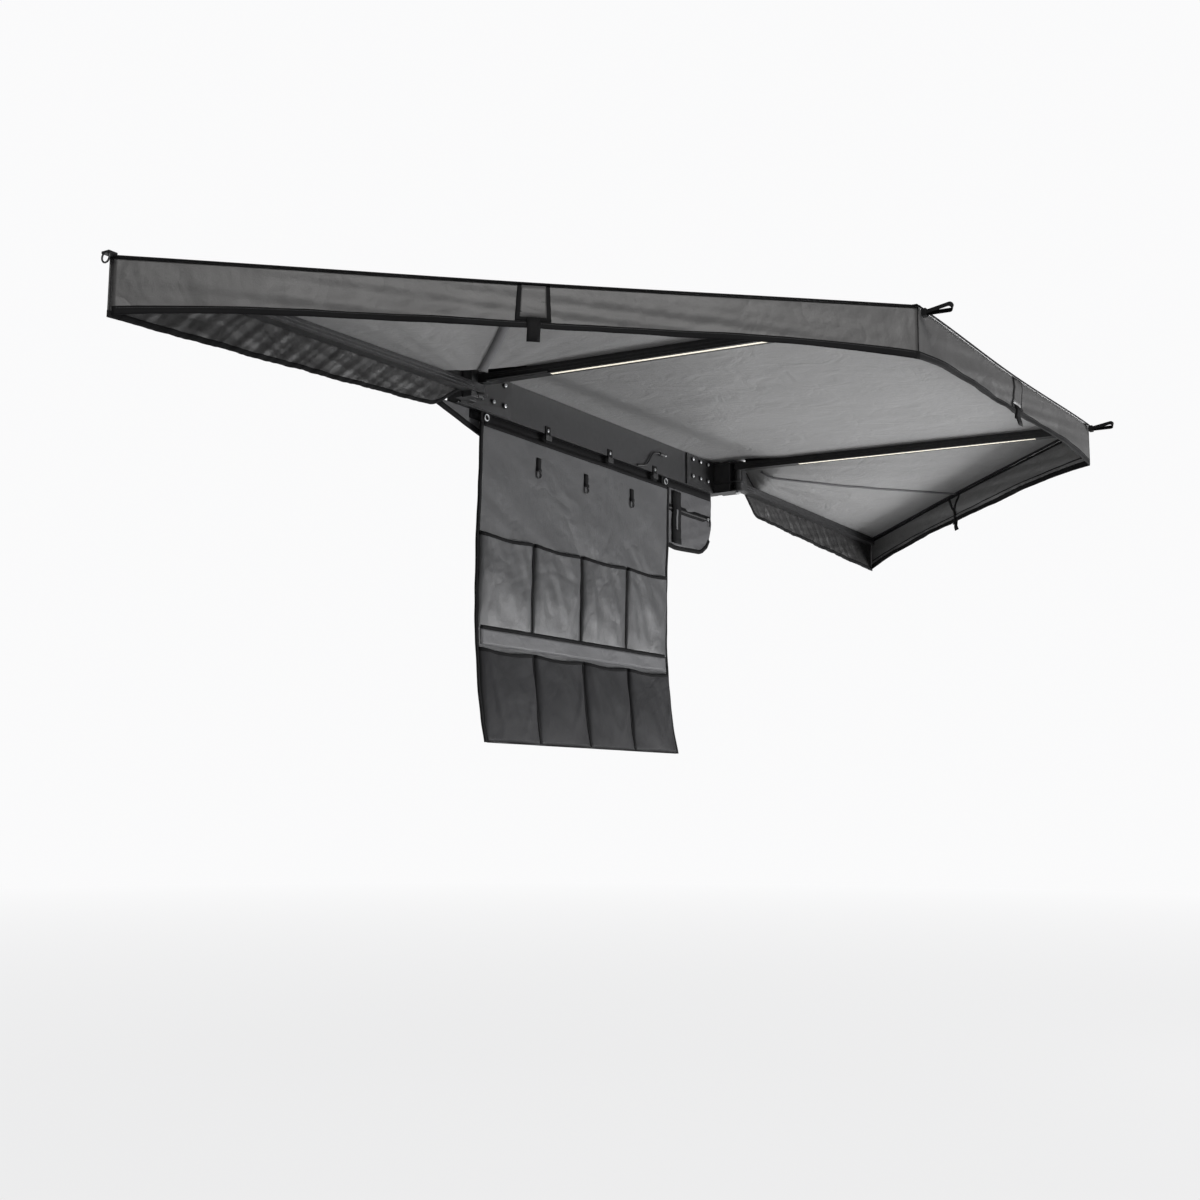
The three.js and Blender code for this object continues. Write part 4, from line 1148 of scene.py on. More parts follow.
class AWNING_OT_skirts(Builder, bpy.types.Operator):
    """The gathered skirts behind the outer arms"""

    bl_idname = "awning.skirts"
    bl_label = "Rear skirts"

    def build(self, context):
        sizes = context.scene.awning_sizes
        made = []
        for name, seed in SKIRT_SEEDS.items():
            skirt = Skirt(name, seed)
            u, v = mesh_grid(*HANGING_GRID["skirt"])
            cloth = cloth_piece(f"rear_skirt_{name}_cloth", skirt.point(u, v), sizes.cloth, skirt.outward,
                                finish("skirt"))
            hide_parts(f"rear_skirt_{name}")
            points = skirt.point(*mesh_grid(220, 3, along=SKIRT_HEM), -THIN_TAPE)
            hem = cloth_piece(f"skirt_binding_{name}", points, sizes.cloth + 2 * THIN_TAPE, skirt.outward,
                              finish("binding"))
            ride_all([cloth, hem], f"{name}_outer_arm")
            made += [cloth, hem]
        return made


# Corner loops, with their tilt in degrees
LOOP_LENGTH = 74 * MM
LOOP_RADIUS = 8.0 * MM
LOOP_TILT = 34
LOOP_RISE = 4 * MM
LOOP_HALF = 7.5 * MM
TACK_HALF = 8.6 * MM
TACK_MARGIN = 5 * MM


class AWNING_OT_loops(Builder, bpy.types.Operator):
    """Webbing loops at the two front corners"""

    bl_idname = "awning.loops"
    bl_label = "Corner loops"

    def build(self, context):
        sizes = context.scene.awning_sizes
        made = []
        for name in SIDES:
            arm = ARMS[f"centre_{name}"]
            node = f"corner_loop_{name}"
            low, high = corner_low(node).z, corner_high(node).z
            start = arm.length + OVERHANG + 2 * CLOTH_GAP
            radius = LOOP_RADIUS
            turn = np.linspace(-math.pi / 2, math.pi / 2, 17)
            near, far = start + radius + 2 * MM, start + LOOP_LENGTH - radius - 2 * MM
            straight = np.linspace(0, 1, 7)[1:-1]
            along = np.concatenate([lerp(near, far, straight), far + radius * np.cos(turn),
                                    lerp(far, near, straight), near - radius * np.cos(turn)])
            off = np.concatenate([-radius + 0 * straight, radius * np.sin(turn), radius + 0 * straight,
                                  -radius * np.sin(turn)])
            tilt = math.radians(LOOP_TILT)
            share = np.clip((along - near) / (LOOP_LENGTH - 2 * radius), 0, 1)
            middle_z = (low + high) / 2 + LOOP_RISE * share
            off = off * (0.3 + 0.85 * share)
            points = np.stack([
                arm.point(along, off * math.cos(tilt) + row * math.sin(tilt),
                          middle_z - off * math.sin(tilt) + row * math.cos(tilt))
                for row in np.linspace(-LOOP_HALF, LOOP_HALF, 4)], axis=1)
            loop = self.band(f"{node}_webbing", points, sizes.webbing)
            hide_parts(node)
            pin = arm.point(start + 6 * MM, 0.0, 0.0)
            tack = block(f"loop_tack_{name}", (pin[0] - TACK_HALF, pin[1] - 6 * MM, low + TACK_MARGIN),
                         (pin[0] + TACK_HALF, pin[1] + 5.4 * MM, high - TACK_MARGIN), finish("binding"),
                         0.8 * MM)
            ride_all([loop, tack], f"{name}_centre_arm")
            made += [loop, tack]
        return made

    def band(self, name, points, thickness):
        """A closed loop of webbing from a ring of upright lines."""
        columns, rows = points.shape[:2]
        ahead = np.roll(points, -1, axis=0) - np.roll(points, 1, axis=0)
        out = np.cross(ahead, UP)
        out /= np.linalg.norm(out, axis=2, keepdims=True)
        inner = points - out * thickness / 2
        outer = points + out * thickness / 2
        vertices = np.concatenate([inner.reshape(-1, 3), outer.reshape(-1, 3)])
        lift = columns * rows
        faces = []
        for i in range(columns):
            n = (i + 1) % columns
            for j in range(rows - 1):
                a, b, c, d = i * rows + j, n * rows + j, n * rows + j + 1, i * rows + j + 1
                faces.append([a, d, c, b])
                faces.append([a + lift, b + lift, c + lift, d + lift])
            for j, flip in ((0, False), (rows - 1, True)):
                edge = [i * rows + j, n * rows + j, n * rows + j + lift, i * rows + j + lift]
                faces.append(edge[::-1] if flip else edge)
        obj = link_mesh(name, vertices, faces, [finish("binding")])
        obj.data.polygons.foreach_set("use_smooth", [True] * len(faces))
        return obj


# Organiser
ORGANISER_LOW = corner_low("organiser_panel")
ORGANISER_HIGH = corner_high("organiser_panel")
EAR = 27 * MM
EAR_WIDTH = 46 * MM
ORGANISER_TOP = ORGANISER_HIGH.z - EAR
ORGANISER_DROP = ORGANISER_TOP - ORGANISER_LOW.z
ORGANISER_FRONT = ORGANISER_LOW.y
ORGANISER_WAVE = 3.4 * MM
ORGANISER_CROSS_WAVE = 1.6 * MM
# The curl in millimetres: back towards the vehicle above, and forward again at the foot
CURL_BACK = 151
CURL_RETURN = 196
CURL_SHARE = 0.7
ORGANISER_THICKNESS = 2.2 * MM
ORGANISER_STEPS = 60
BAND_INSET = 14 * MM
BAND_THICKNESS = 1.6 * MM
EYELET_HOLE = 7.4 * MM
HOOK_TAB_LIFT = 22 * MM
POCKETS = 4
POCKET_THICKNESS = 1.2 * MM
MOUTH_SHARES = (0.965, 1.005)
MOUTH_THICKNESS = 2.2 * MM
POCKET_GAP = 0.5 * MM
POCKET_WALL = 2 * MM
POCKET_FILL = 0.8
POCKET_SAG = 9 * MM
# Each fold's place across the pocket, its lean and its breadth
POCKET_FOLDS = ((0.8, 0.5, 0.06), (0.88, 0.2, 0.035), (0.2, -0.25, 0.05))


def organiser_curl(z):
    """How far the hanging cloth has drifted towards the vehicle at a height, from its own weight and set."""
    share = np.clip((ORGANISER_TOP - z) / ORGANISER_DROP, 0.0, 1.0)
    return share ** 2 * (CURL_BACK - CURL_RETURN * share) * MM * CURL_SHARE


def organiser_point(x, z, off=0.0):
    """A point that stands off from the organiser's front face."""
    x, z, off = np.broadcast_arrays(np.asarray(x, float), np.asarray(z, float), np.asarray(off, float))
    share = np.clip((ORGANISER_TOP - z) / ORGANISER_DROP, 0.0, 1.0)
    across = x - ORGANISER_LOW.x
    soft = ORGANISER_WAVE * np.sqrt(share) * ripple(0.7, across + 0.12 * share, 4)
    soft = soft + ORGANISER_CROSS_WAVE * ripple(3.3, across * 0.7 - share * 1.3, 5)
    y = ORGANISER_FRONT + organiser_curl(z) + soft - off
    return np.stack([x, y, z], axis=-1)


class Pocket:
    """One row's pocket surface: bellowed between dividers, closed at its foot and open at its mouth."""

    def __init__(self, node):
        low, high = corner_low(node), corner_high(node)
        self.left, self.right = low.x, high.x
        self.bottom, self.top = low.z, high.z
        self.depth = high.y - low.y
        self.pitch = (self.right - self.left) / POCKETS

    def point(self, number, u, t, off=0.0):
        """A point of one pocket: u across it, t up from its foot, off its face."""
        u, t = np.broadcast_arrays(np.asarray(u, float), np.asarray(t, float))
        x = self.left + (number + 0.02 + 0.96 * u) * self.pitch
        z = lerp(self.bottom, self.top, t)
        swell = np.clip(np.sin(math.pi * np.clip(u, 0, 1)), 0, 1) ** 0.42
        foot = np.sin(np.clip(t / 0.6, 0, 1) * math.pi / 2) ** 0.9
        mouth = 1 - 0.12 * np.clip((t - 0.5) / 0.5, 0, 1) ** 1.5
        crumple = 0.13 * ripple(number * 2.1 + self.depth * 300, 1.1 * u + 0.6 * t, 2.2)
        for place, lean, broad in POCKET_FOLDS:
            place = place + 0.05 * math.sin(number * 2.7 + place * 9)
            crumple = crumple + 0.16 * np.exp(-(((u - place - lean * (t - 0.35)) / broad) ** 2))
        full = np.clip(swell * foot * mouth * (0.84 + crumple), 0, 1)
        stand = POCKET_GAP + POCKET_FILL * (self.depth - POCKET_WALL) * full
        sag = POCKET_SAG * np.sin(math.pi * np.clip(u, 0, 1)) * np.clip((t - 0.7) / 0.3, 0, 1)
        return organiser_point(x, z - sag, stand + off)


class AWNING_OT_organiser(Builder, bpy.types.Operator):
    """The hanging organiser: panel, band, bindings, hook tabs and rings"""

    bl_idname = "awning.organiser"
    bl_label = "Organiser panel"

    def build(self, context):
        x0, x1 = ORGANISER_LOW.x, ORGANISER_HIGH.x
        bottom = ORGANISER_LOW.z
        u, v = mesh_grid(ORGANISER_STEPS, 70)
        points = organiser_point(lerp(x0, x1, u), lerp(bottom, ORGANISER_TOP, v), -2.4 * MM)
        panel = cloth_piece("organiser_cloth", points, ORGANISER_THICKNESS, FORWARD, finish("organiser"))
        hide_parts("organiser_panel")
        trims = self.ears(x0, x1) + self.edge_bindings(x0, x1, bottom)
        low, high = corner_low("organiser_band"), corner_high("organiser_band")
        start, end = low.x + BAND_INSET, high.x - BAND_INSET
        u, v = mesh_grid(ORGANISER_STEPS, 6)
        points = organiser_point(lerp(start, end, u), lerp(low.z, high.z, v), 0.3 * MM)
        band = cloth_piece("organiser_band_webbing", points, BAND_THICKNESS, FORWARD, finish("band"))
        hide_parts("organiser_band")
        row = np.linspace(start, end, ORGANISER_STEPS)
        for label, at in (("top", high.z - 4 * MM), ("bottom", low.z + 4 * MM)):
            path = organiser_point(row, at, 2.0 * MM)
            trims.append(stitches(f"band_stitches_{label}", path, FORWARD, STITCH_PITCH, finish("thread")))
        line = organiser_point(row, high.z + 3 * MM, 2.2 * MM)
        trims.append(dark_tape("band_top_binding", line, UP, 11 * MM, 1.0 * MM))
        trims += self.hooks()
        ride_all([panel, band, *trims], "organiser")
        [object_of(piece) for piece in trims]
        return [panel, band, *trims]

    def edge_bindings(self, x0, x1, bottom):
        """Folded tape around the panel's four edges."""
        made = []
        height = np.linspace(bottom - 1.5 * MM, ORGANISER_TOP - 1 * MM, ORGANISER_STEPS)
        for label, at in (("left", x0 + 5 * MM), ("right", x1 - 5 * MM)):
            line = organiser_point(at, height, -3.1 * MM)
            made.append(dark_tape(f"organiser_side_binding_{label}", line, RIGHTWARD, 13 * MM, 3.7 * MM))
        across = np.linspace(x0 + 11.8 * MM, x1 - 11.8 * MM, 80)
        for label, at in (("bottom", bottom + 4 * MM), ("top", ORGANISER_TOP - 5 * MM)):
            line = organiser_point(across, at, -3.0 * MM)
            made.append(dark_tape(f"organiser_{label}_binding", line, UP, 12 * MM, 3.6 * MM))
        return made

    def ears(self, x0, x1):
        """Raised top corners around the eyelets."""
        made = []
        for label, low in (("left", x0), ("right", x1 - EAR_WIDTH)):
            centre = low + EAR_WIDTH / 2
            middle_z = ORGANISER_TOP + EAR / 2
            count = 32
            inner, outer = [], []
            for k in range(count):
                turn = 2 * math.pi * k / count
                c, s = math.cos(turn), math.sin(turn)
                half_x, half_z = EAR_WIDTH / 2, EAR / 2
                reach = min(half_x / max(abs(c), 1e-6), half_z / max(abs(s), 1e-6))
                inner.append((centre + EYELET_HOLE * c, middle_z + EYELET_HOLE * s))
                outer.append((centre + reach * c, middle_z + reach * s))
            front, back = ORGANISER_FRONT + 0.2 * MM, ORGANISER_FRONT + 2.4 * MM
            rings = [(inner, front), (outer, front), (outer, back), (inner, back)]
            vertices = [(x, y, z) for places, y in rings for x, z in places]
            faces = []
            for n in range(4):
                m = (n + 1) % 4
                for k in range(count):
                    j = (k + 1) % count
                    faces.append([n * count + k, m * count + k, m * count + j, n * count + j])
            made.append(link_mesh(f"organiser_ear_{label}", vertices, faces, [finish("binding")]))
        return made

    def hooks(self):
        """Webbing tabs with a ring each, and a keeper over each tab's foot."""
        made = []
        for k in (1, 2, 3):
            node = f"hook_ring_{k}"
            low, high = corner_low(node), corner_high(node)
            centre = (low.x + high.x) / 2
            tab_low = low.z + HOOK_TAB_LIFT
            line = organiser_point(centre, np.linspace(tab_low, high.z, 8), 0.2 * MM)
            tab = dark_tape(f"hook_tab_{k}", line, RIGHTWARD, 21 * MM, 2.0 * MM)
            height = tab_low - 9 * MM
            hang = float(organiser_point(centre, height, 2.6 * MM)[1])
            hoop = ring(f"hook_hoop_{k}", (centre, hang, height), (0, 1, 0), 11 * MM, 1.8 * MM,
                        finish("plastic"))
            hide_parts(node)
            heights = np.linspace(tab_low - 1 * MM, tab_low + 9 * MM, 4)
            line = organiser_point(centre, heights, 2.4 * MM)
            keeper = dark_tape(f"hook_keeper_{k}", line, RIGHTWARD, 22 * MM, 1.8 * MM)
            made += [tab, hoop, keeper]
        return made


class AWNING_OT_pockets(Builder, bpy.types.Operator):
    """The eight bellowed pockets with bound mouths, and dark seam tapes between them that carry painted shade
    """

    bl_idname = "awning.pockets"
    bl_label = "Pockets"

    def build(self, context):
        made = []
        for row, material in (("upper", "organiser"), ("lower", "pocket")):
            node = f"organiser_pockets_{row}"
            pocket = Pocket(node)
            sewn = []
            for number in range(POCKETS):
                sewn += self.pocket(pocket, row, number, finish(material))
            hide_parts(node)
            made += sewn + self.seam_and_shade_lines(pocket, row)
        ride_all(made, "organiser")
        return made

    def pocket(self, pocket, row, number, material):
        """One pocket and the binding of its mouth."""
        points = pocket.point(number, *mesh_grid(36, 32))
        shape = cloth_piece(f"pocket_{row}_{number + 1}", points, POCKET_THICKNESS, FORWARD, material)
        points = pocket.point(number, *mesh_grid(36, 3, along=MOUTH_SHARES), -0.5 * MM)
        mouth = cloth_piece(f"pocket_mouth_{row}_{number + 1}", points, MOUTH_THICKNESS, FORWARD,
                            finish("binding"))
        return [shape, mouth]

    def seam_and_shade_lines(self, pocket, row):
        """Dark tapes down the cloth between the pockets of a row: stitched seams, with the shade of the
        valleys between pockets painted into them.
        """
        made = []
        for number in range(1, POCKETS):
            at = pocket.left + number * pocket.pitch
            height = np.linspace(pocket.bottom + 1 * MM, pocket.top - 1 * MM, 24)
            line = organiser_point(at, height, 2.1 * MM)
            # Painted shade: the black tape stands for the seam and the shade in the valley between two
            # pockets
            made.append(dark_tape(f"divider_{row}_{number}", line, RIGHTWARD, 6 * MM, 0.9 * MM))
        return made


# Travel cover
COVER_LOW = corner_low("travel_cover")
COVER_HIGH = corner_high("travel_cover")
COVER_SPAN = COVER_HIGH.x - COVER_LOW.x
COVER_DROP = COVER_HIGH.z - COVER_LOW.z
COVER_THICKNESS = 5 * MM
COVER_BACK = 3.4 * MM
COVER_FOLD = 2.0 * MM
STRAP_PLACE = 0.462
ZIP_STEPS = 100
# How far down the cover reaches at places along it, both as shares
COVER_SHARES = (
    (0.0, 0.02), (0.087, 0.18), (0.158, 0.3), (0.54, 0.78), (0.84, 1.0), (0.952, 0.96), (0.985, 0.82),
    (1.0, 0.56))


def cover_depth(a):
    """The share of the cover's full drop that it has at a place along it."""
    places, depths = zip(*COVER_SHARES)
    return np.interp(a, places, depths)


def cover_point(a, down, off=0.0):
    """A point on the folded cover: a along it, down its height at that place, off from its back."""
    a, down, off = np.broadcast_arrays(np.asarray(a, float), np.asarray(down, float), np.asarray(off, float))
    real = cover_depth(a) * down
    x = lerp(COVER_LOW.x, COVER_HIGH.x, a)
    z = COVER_HIGH.z - real * COVER_DROP
    fold = COVER_FOLD * ripple(1.1, a * 1.5 + real * 0.8, 5) * np.clip(real * 3, 0, 1)
    return np.stack([x, COVER_HIGH.y - COVER_BACK + fold - off, z], axis=-1)


def cover_down(a, height):
    """The share down the cover at which it reaches a height."""
    return (COVER_HIGH.z - height) / COVER_DROP / cover_depth(a)


class AWNING_OT_cover(Builder, bpy.types.Operator):
    """The folded travel cover with its zip, edge binding and strap"""

    bl_idname = "awning.cover"
    bl_label = "Travel cover"

    def build(self, context):
        cover = cloth_piece("travel_cover_cloth", cover_point(*mesh_grid(90, 20)), COVER_THICKNESS, FORWARD,
                            finish("cover"))
        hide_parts("travel_cover")
        low = cover_point(np.linspace(0.012, 0.99, 90), 1.0, -0.9 * MM)
        binding = dark_tape("cover_edge_binding", low, beside(low, (0, 1.0, 0)), 14 * MM,
                            COVER_THICKNESS + 1.8 * MM)
        pieces = [binding, *self.zip_pieces(), *self.end_details()]
        ride_all([cover, *pieces], FRAME)
        [object_of(piece) for piece in pieces]
        return [cover, *pieces]

    def zip_pieces(self):
        """The zip's tape, teeth, slider and cord pull."""
        dark = finish("binding")
        low, high = corner_low("cover_zip"), corner_high("cover_zip")
        height = (low.z + high.z) / 2
        start = (low.x - COVER_LOW.x) / COVER_SPAN
        end = (high.x - COVER_LOW.x) / COVER_SPAN
        run = np.linspace(start, end, ZIP_STEPS)
        pieces = []
        for label, wide, off, deep, material in (
                ("tape", 26 * MM, 0.1 * MM, 0.7 * MM, dark),
                ("teeth", 6 * MM, 0.8 * MM, 1.6 * MM, finish("plastic"))):
            line = cover_point(run, cover_down(run, height), COVER_THICKNESS + off)
            pieces.append(strip(f"cover_zip_{label}", line, UP, wide, deep, FORWARD, material))
        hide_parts("cover_zip")
        slider_a = end - 0.012
        place = cover_point(slider_a, cover_down(slider_a, height), COVER_THICKNESS + 2.2 * MM)
        x, y, z = (float(value) for value in place)
        pieces.append(block("cover_zip_slider", (x - 7 * MM, y - 3.2 * MM, z - 5 * MM),
                            (x + 7 * MM, y + 0.6 * MM, z + 5 * MM), finish("zinc"), 1.2 * MM))
        pull = [(x + 5 * MM, y - 3.4 * MM, z), (x + 5.6 * MM, y - 4.2 * MM, z - 12 * MM),
                (x + 5.2 * MM, y - 3.8 * MM, z - 26 * MM)]
        pieces.append(tube("cover_zip_pull", pull, 1.6 * MM, dark))
        return pieces

    def end_details(self):
        """A dark band along the top, and a strap with a lighter face beside the organiser."""
        dark = finish("binding")
        run = np.linspace(0.10, 0.996, 90)
        line = cover_point(run, cover_down(run, COVER_HIGH.z - 13 * MM), COVER_THICKNESS + 0.2 * MM)
        pieces = [strip("cover_top_band", line, UP, 25 * MM, 1.0 * MM, FORWARD, dark)]
        a = (STRAP_PLACE - COVER_LOW.x) / COVER_SPAN
        for label, wide, off, ends, material in (
                ("strap", 56 * MM, 3.3 * MM, (0.14, 0.94), dark),
                ("strap_face", 11 * MM, 4.5 * MM, (0.42, 0.72), finish("webbing"))):
            line = cover_point(a, np.linspace(*ends, 20), COVER_THICKNESS + off)
            pieces.append(strip(f"cover_{label}", line, RIGHTWARD, wide, 1.2 * MM, FORWARD, material))
        return pieces


# Frame finish
NODES_BY_FINISH = {
    "rail": ("rail",),
    "bracket": ("hinge_bracket_left", "hinge_bracket_right"),
    "arm": ("arm_centre_left", "arm_centre_right", "arm_outer_left", "arm_outer_right"),
    "light": ("light_strip_centre_left", "light_strip_centre_right"),
    "zinc": ("pivot_bolt_left", "pivot_bolt_right", "eyelet_left", "eyelet_right"),
    "binding": ("hanging_clip_1", "hanging_clip_2", "hanging_clip_3"),
    "plastic": (
        "rail_cap_left", "rail_cap_right", "hinge_spacer_left", "hinge_spacer_right",
        "rail_lead", "rail_lead_plug", "light_lead_left", "light_lead_right",
        "arm_cap_centre_left", "arm_cap_centre_right", "arm_cap_outer_left", "arm_cap_outer_right",
        "tip_ring_left", "tip_ring_right"),
}
SCREW_EDGE = 35 * MM
SCREW_PITCH = 53 * MM
SCREW_HEIGHTS = (-22 * MM, 37 * MM)
SCREW_SEAT = 5 * MM
PLATE_MARGIN = 3 * MM
PLATE_EDGE = 1.5 * MM
# How far below the arm's top each rib lies
RIB_DROPS = {"high": 8 * MM, "low": 17 * MM}
RIB_WIDTH = 2.2 * MM
RIB_THICKNESS = 0.95 * MM
GUSSET_THICKNESS = 6 * MM
KEEPER_HEIGHTS = (-76 * MM, -60 * MM)
STUD_HEIGHT = -46 * MM
# Profiles of turned parts, as height along the axis and radius in millimetres
SCREW_PROFILE = ((4.0, 5.4), (6.2, 5.4), (7.4, 4.9), (8.0, 3.9), (8.1, 3.0), (8.1, 2.5), (6.4, 2.4))
CAP_SCREW_PROFILE = ((0.0, 4.6), (0.9, 4.4), (1.7, 3.2), (1.8, 1.9), (0.7, 1.8))
CLIP_STUD_PROFILE = ((0.0, 5.0), (1.6, 4.8), (2.6, 3.4), (2.7, 2.0), (1.4, 1.9))
PLUG_BARREL_PROFILE = ((0.0, 3.0), (9.0, 3.0), (9.8, 2.2), (9.8, 1.2), (6.0, 1.1))


class AWNING_OT_metalwork(Builder, bpy.types.Operator):
    """Finishes for the rail, brackets, arms and lights, with screws, plates, arm ribs and clip keepers"""

    bl_idname = "awning.metalwork"
    bl_label = "Frame finish"

    def build(self, context):
        made = []
        for material, nodes in NODES_BY_FINISH.items():
            for node in nodes:
                obj = frame["nodes"][node]
                obj.data.materials.clear()
                obj.data.materials.append(finish(material))
                made.append(obj)
        new = []
        for name, side in SIDES.items():
            new += self.bracket_parts(name, side)
        low, high = corner_low("rail_lead_plug"), corner_high("rail_lead_plug")
        end = (high.x - 0.5 * MM, (low.y + high.y) / 2, (low.z + high.z) / 2)
        new.append(lathe("rail_lead_barrel", end, RIGHTWARD, PLUG_BARREL_PROFILE, finish("zinc")))
        ride_all(new, FRAME)
        new += self.arm_trim()
        new += self.buckles()
        return made + new

    def bracket_parts(self, name, side):
        """A bracket's six socket screws, and the plates behind and beside its knuckle."""
        low, high = corner_low(f"hinge_bracket_{name}"), corner_high(f"hinge_bracket_{name}")
        inner_end = high.x if side < 0 else low.x
        front = high.y - SCREW_SEAT
        made = []
        for row, height in enumerate(SCREW_HEIGHTS):
            for k in range(3):
                x = inner_end + side * (SCREW_EDGE + k * SCREW_PITCH)
                made.append(lathe(f"screw_{name}_{row + 1}_{k + 1}", (x, front, height), FORWARD,
                                  SCREW_PROFILE, finish("zinc"), hexagon=(5, 6)))
        pivot = ARMS[f"centre_{name}"].pivot
        for label, reaches, front, back in (
                ("web", (-18 * MM, 52 * MM), pivot[1] + 23 * MM, high.y - 4.9 * MM),
                ("filler", (15 * MM, 46 * MM), pivot[1] - 8 * MM, pivot[1] + 24 * MM)):
            left, right = sorted(pivot[0] + side * reach for reach in reaches)
            made.append(block(f"hinge_{label}_{name}", (left, front, low.z + PLATE_MARGIN),
                              (right, back, high.z - PLATE_MARGIN), finish("bracket"), PLATE_EDGE))
        return made

    def arm_trim(self):
        """Ribs down the arms' sides, gussets at the centre arms' hinges and a screw in each tip cap."""
        made = []
        for name, arm in ARMS.items():
            position, side_name = name.split("_")
            setback = {"outer_left": LEFT_SETBACK, "outer_right": RIGHT_SETBACK}.get(name, 0.0)
            end = arm.length - setback
            pieces = []
            distance = np.linspace(42 * MM, end - 12 * MM, 12)
            for label, way in (("a", -1), ("b", 1)):
                offset = way * (ARM_WIDTH / 2 - 0.55 * MM)
                outward = np.append(arm.normal * way, 0.0)
                for part, drop in RIB_DROPS.items():
                    line = arm.point(distance, offset, arm.top(distance) - drop)
                    pieces.append(strip(f"arm_rib_{name}_{label}_{part}", line, UP, RIB_WIDTH,
                                        RIB_THICKNESS, outward, finish("arm")))
            if position == "centre":
                pieces.append(self.gusset(side_name, arm))
            centre = arm.point(end - 0.1 * MM, 0.0, arm.top(end) - 12.5 * MM)
            pieces.append(lathe(f"cap_screw_{name}", tuple(centre), tuple(np.append(arm.direction, 0.0)),
                                CAP_SCREW_PROFILE, finish("zinc"), hexagon=(3, 4)))
            ride_all(pieces, f"{side_name}_{position}_arm")
            made += pieces
        return made

    def gusset(self, side_name, arm):
        """Cloth that closes the space between a centre arm and the canopy where it rises to the rail."""
        u, v = mesh_grid(24, 3)
        distance = lerp(LUG_COVER + 2 * MM, LUG_COVER + 1.3 * EASE_LENGTH, u)
        height = lerp(arm.top(distance) + 0.3 * MM, arm.cloth(distance) - 0.3 * MM, v)
        return cloth_piece(f"hinge_gusset_{side_name}", arm.point(distance, -GUSSET_THICKNESS / 2, height),
                           GUSSET_THICKNESS, np.append(arm.normal, 0.0), finish("binding"))

    def buckles(self):
        """A moulded keeper and a stud on each hanging strap."""
        made = []
        for k in (1, 2, 3):
            low, high = corner_low(f"hanging_clip_{k}"), corner_high(f"hanging_clip_{k}")
            front = low.y - 0.2 * MM
            bottom, top = KEEPER_HEIGHTS
            made.append(block(f"clip_keeper_{k}", (low.x - 3 * MM, front - 3.4 * MM, bottom),
                              (high.x + 3 * MM, front, top), finish("plastic"), 1.2 * MM))
            centre = ((low.x + high.x) / 2, low.y, STUD_HEIGHT)
            made.append(lathe(f"clip_stud_{k}", centre, FORWARD, CLIP_STUD_PROFILE, finish("zinc"),
                              hexagon=(3, 4)))
        ride_all(made, FRAME)
        return made


# Stage
def mix_shaders(tree, share, first, second):
    """The first shader's output where share is 0, and the second's where it is 1."""
    node = add_node(tree, "ShaderNodeMixShader", Fac=share)
    feed(tree, node.inputs[1], first.outputs[0])
    feed(tree, node.inputs[2], second.outputs[0])
    return node.outputs[0]


CAMERA_PLACE = (-3.8606, -2.5387, -1.1360)
CAMERA_YAW = 33.1
CAMERA_PITCH = 7.7
CAMERA_ROLL = 0.3
CAMERA_LENS = 45.0
BACKDROP = (0.96, 0.96, 0.965, 1)
FLOOR_HALF = 60.0
FLOOR_HEIGHT = -2.1
FLOOR_FADE = (2.5, 14.0)
FLOOR_NEAR_SHARE = 0.86
WORLD_LIGHT = (0.95, 0.97, 1.0, 1)
WORLD_STRENGTH = 0.08
# Name, place, target, size, power and colour of each lamp
LAMPS = (
    ("Key", (-4.6, -5.5, 3.2), (-0.2, -0.6, -0.2), 3.0, 345, (1.0, 0.99, 0.98)),
    ("Fill", (2.7, -3.0, -1.6), (0.7, -1.2, 0), 1.6, 150, (0.99, 0.99, 1.0)),
    ("Low", (-3.4, -4.2, -2.0), (-0.3, -0.7, -0.3), 2.0, 14, (1.0, 1.0, 1.0)),
)


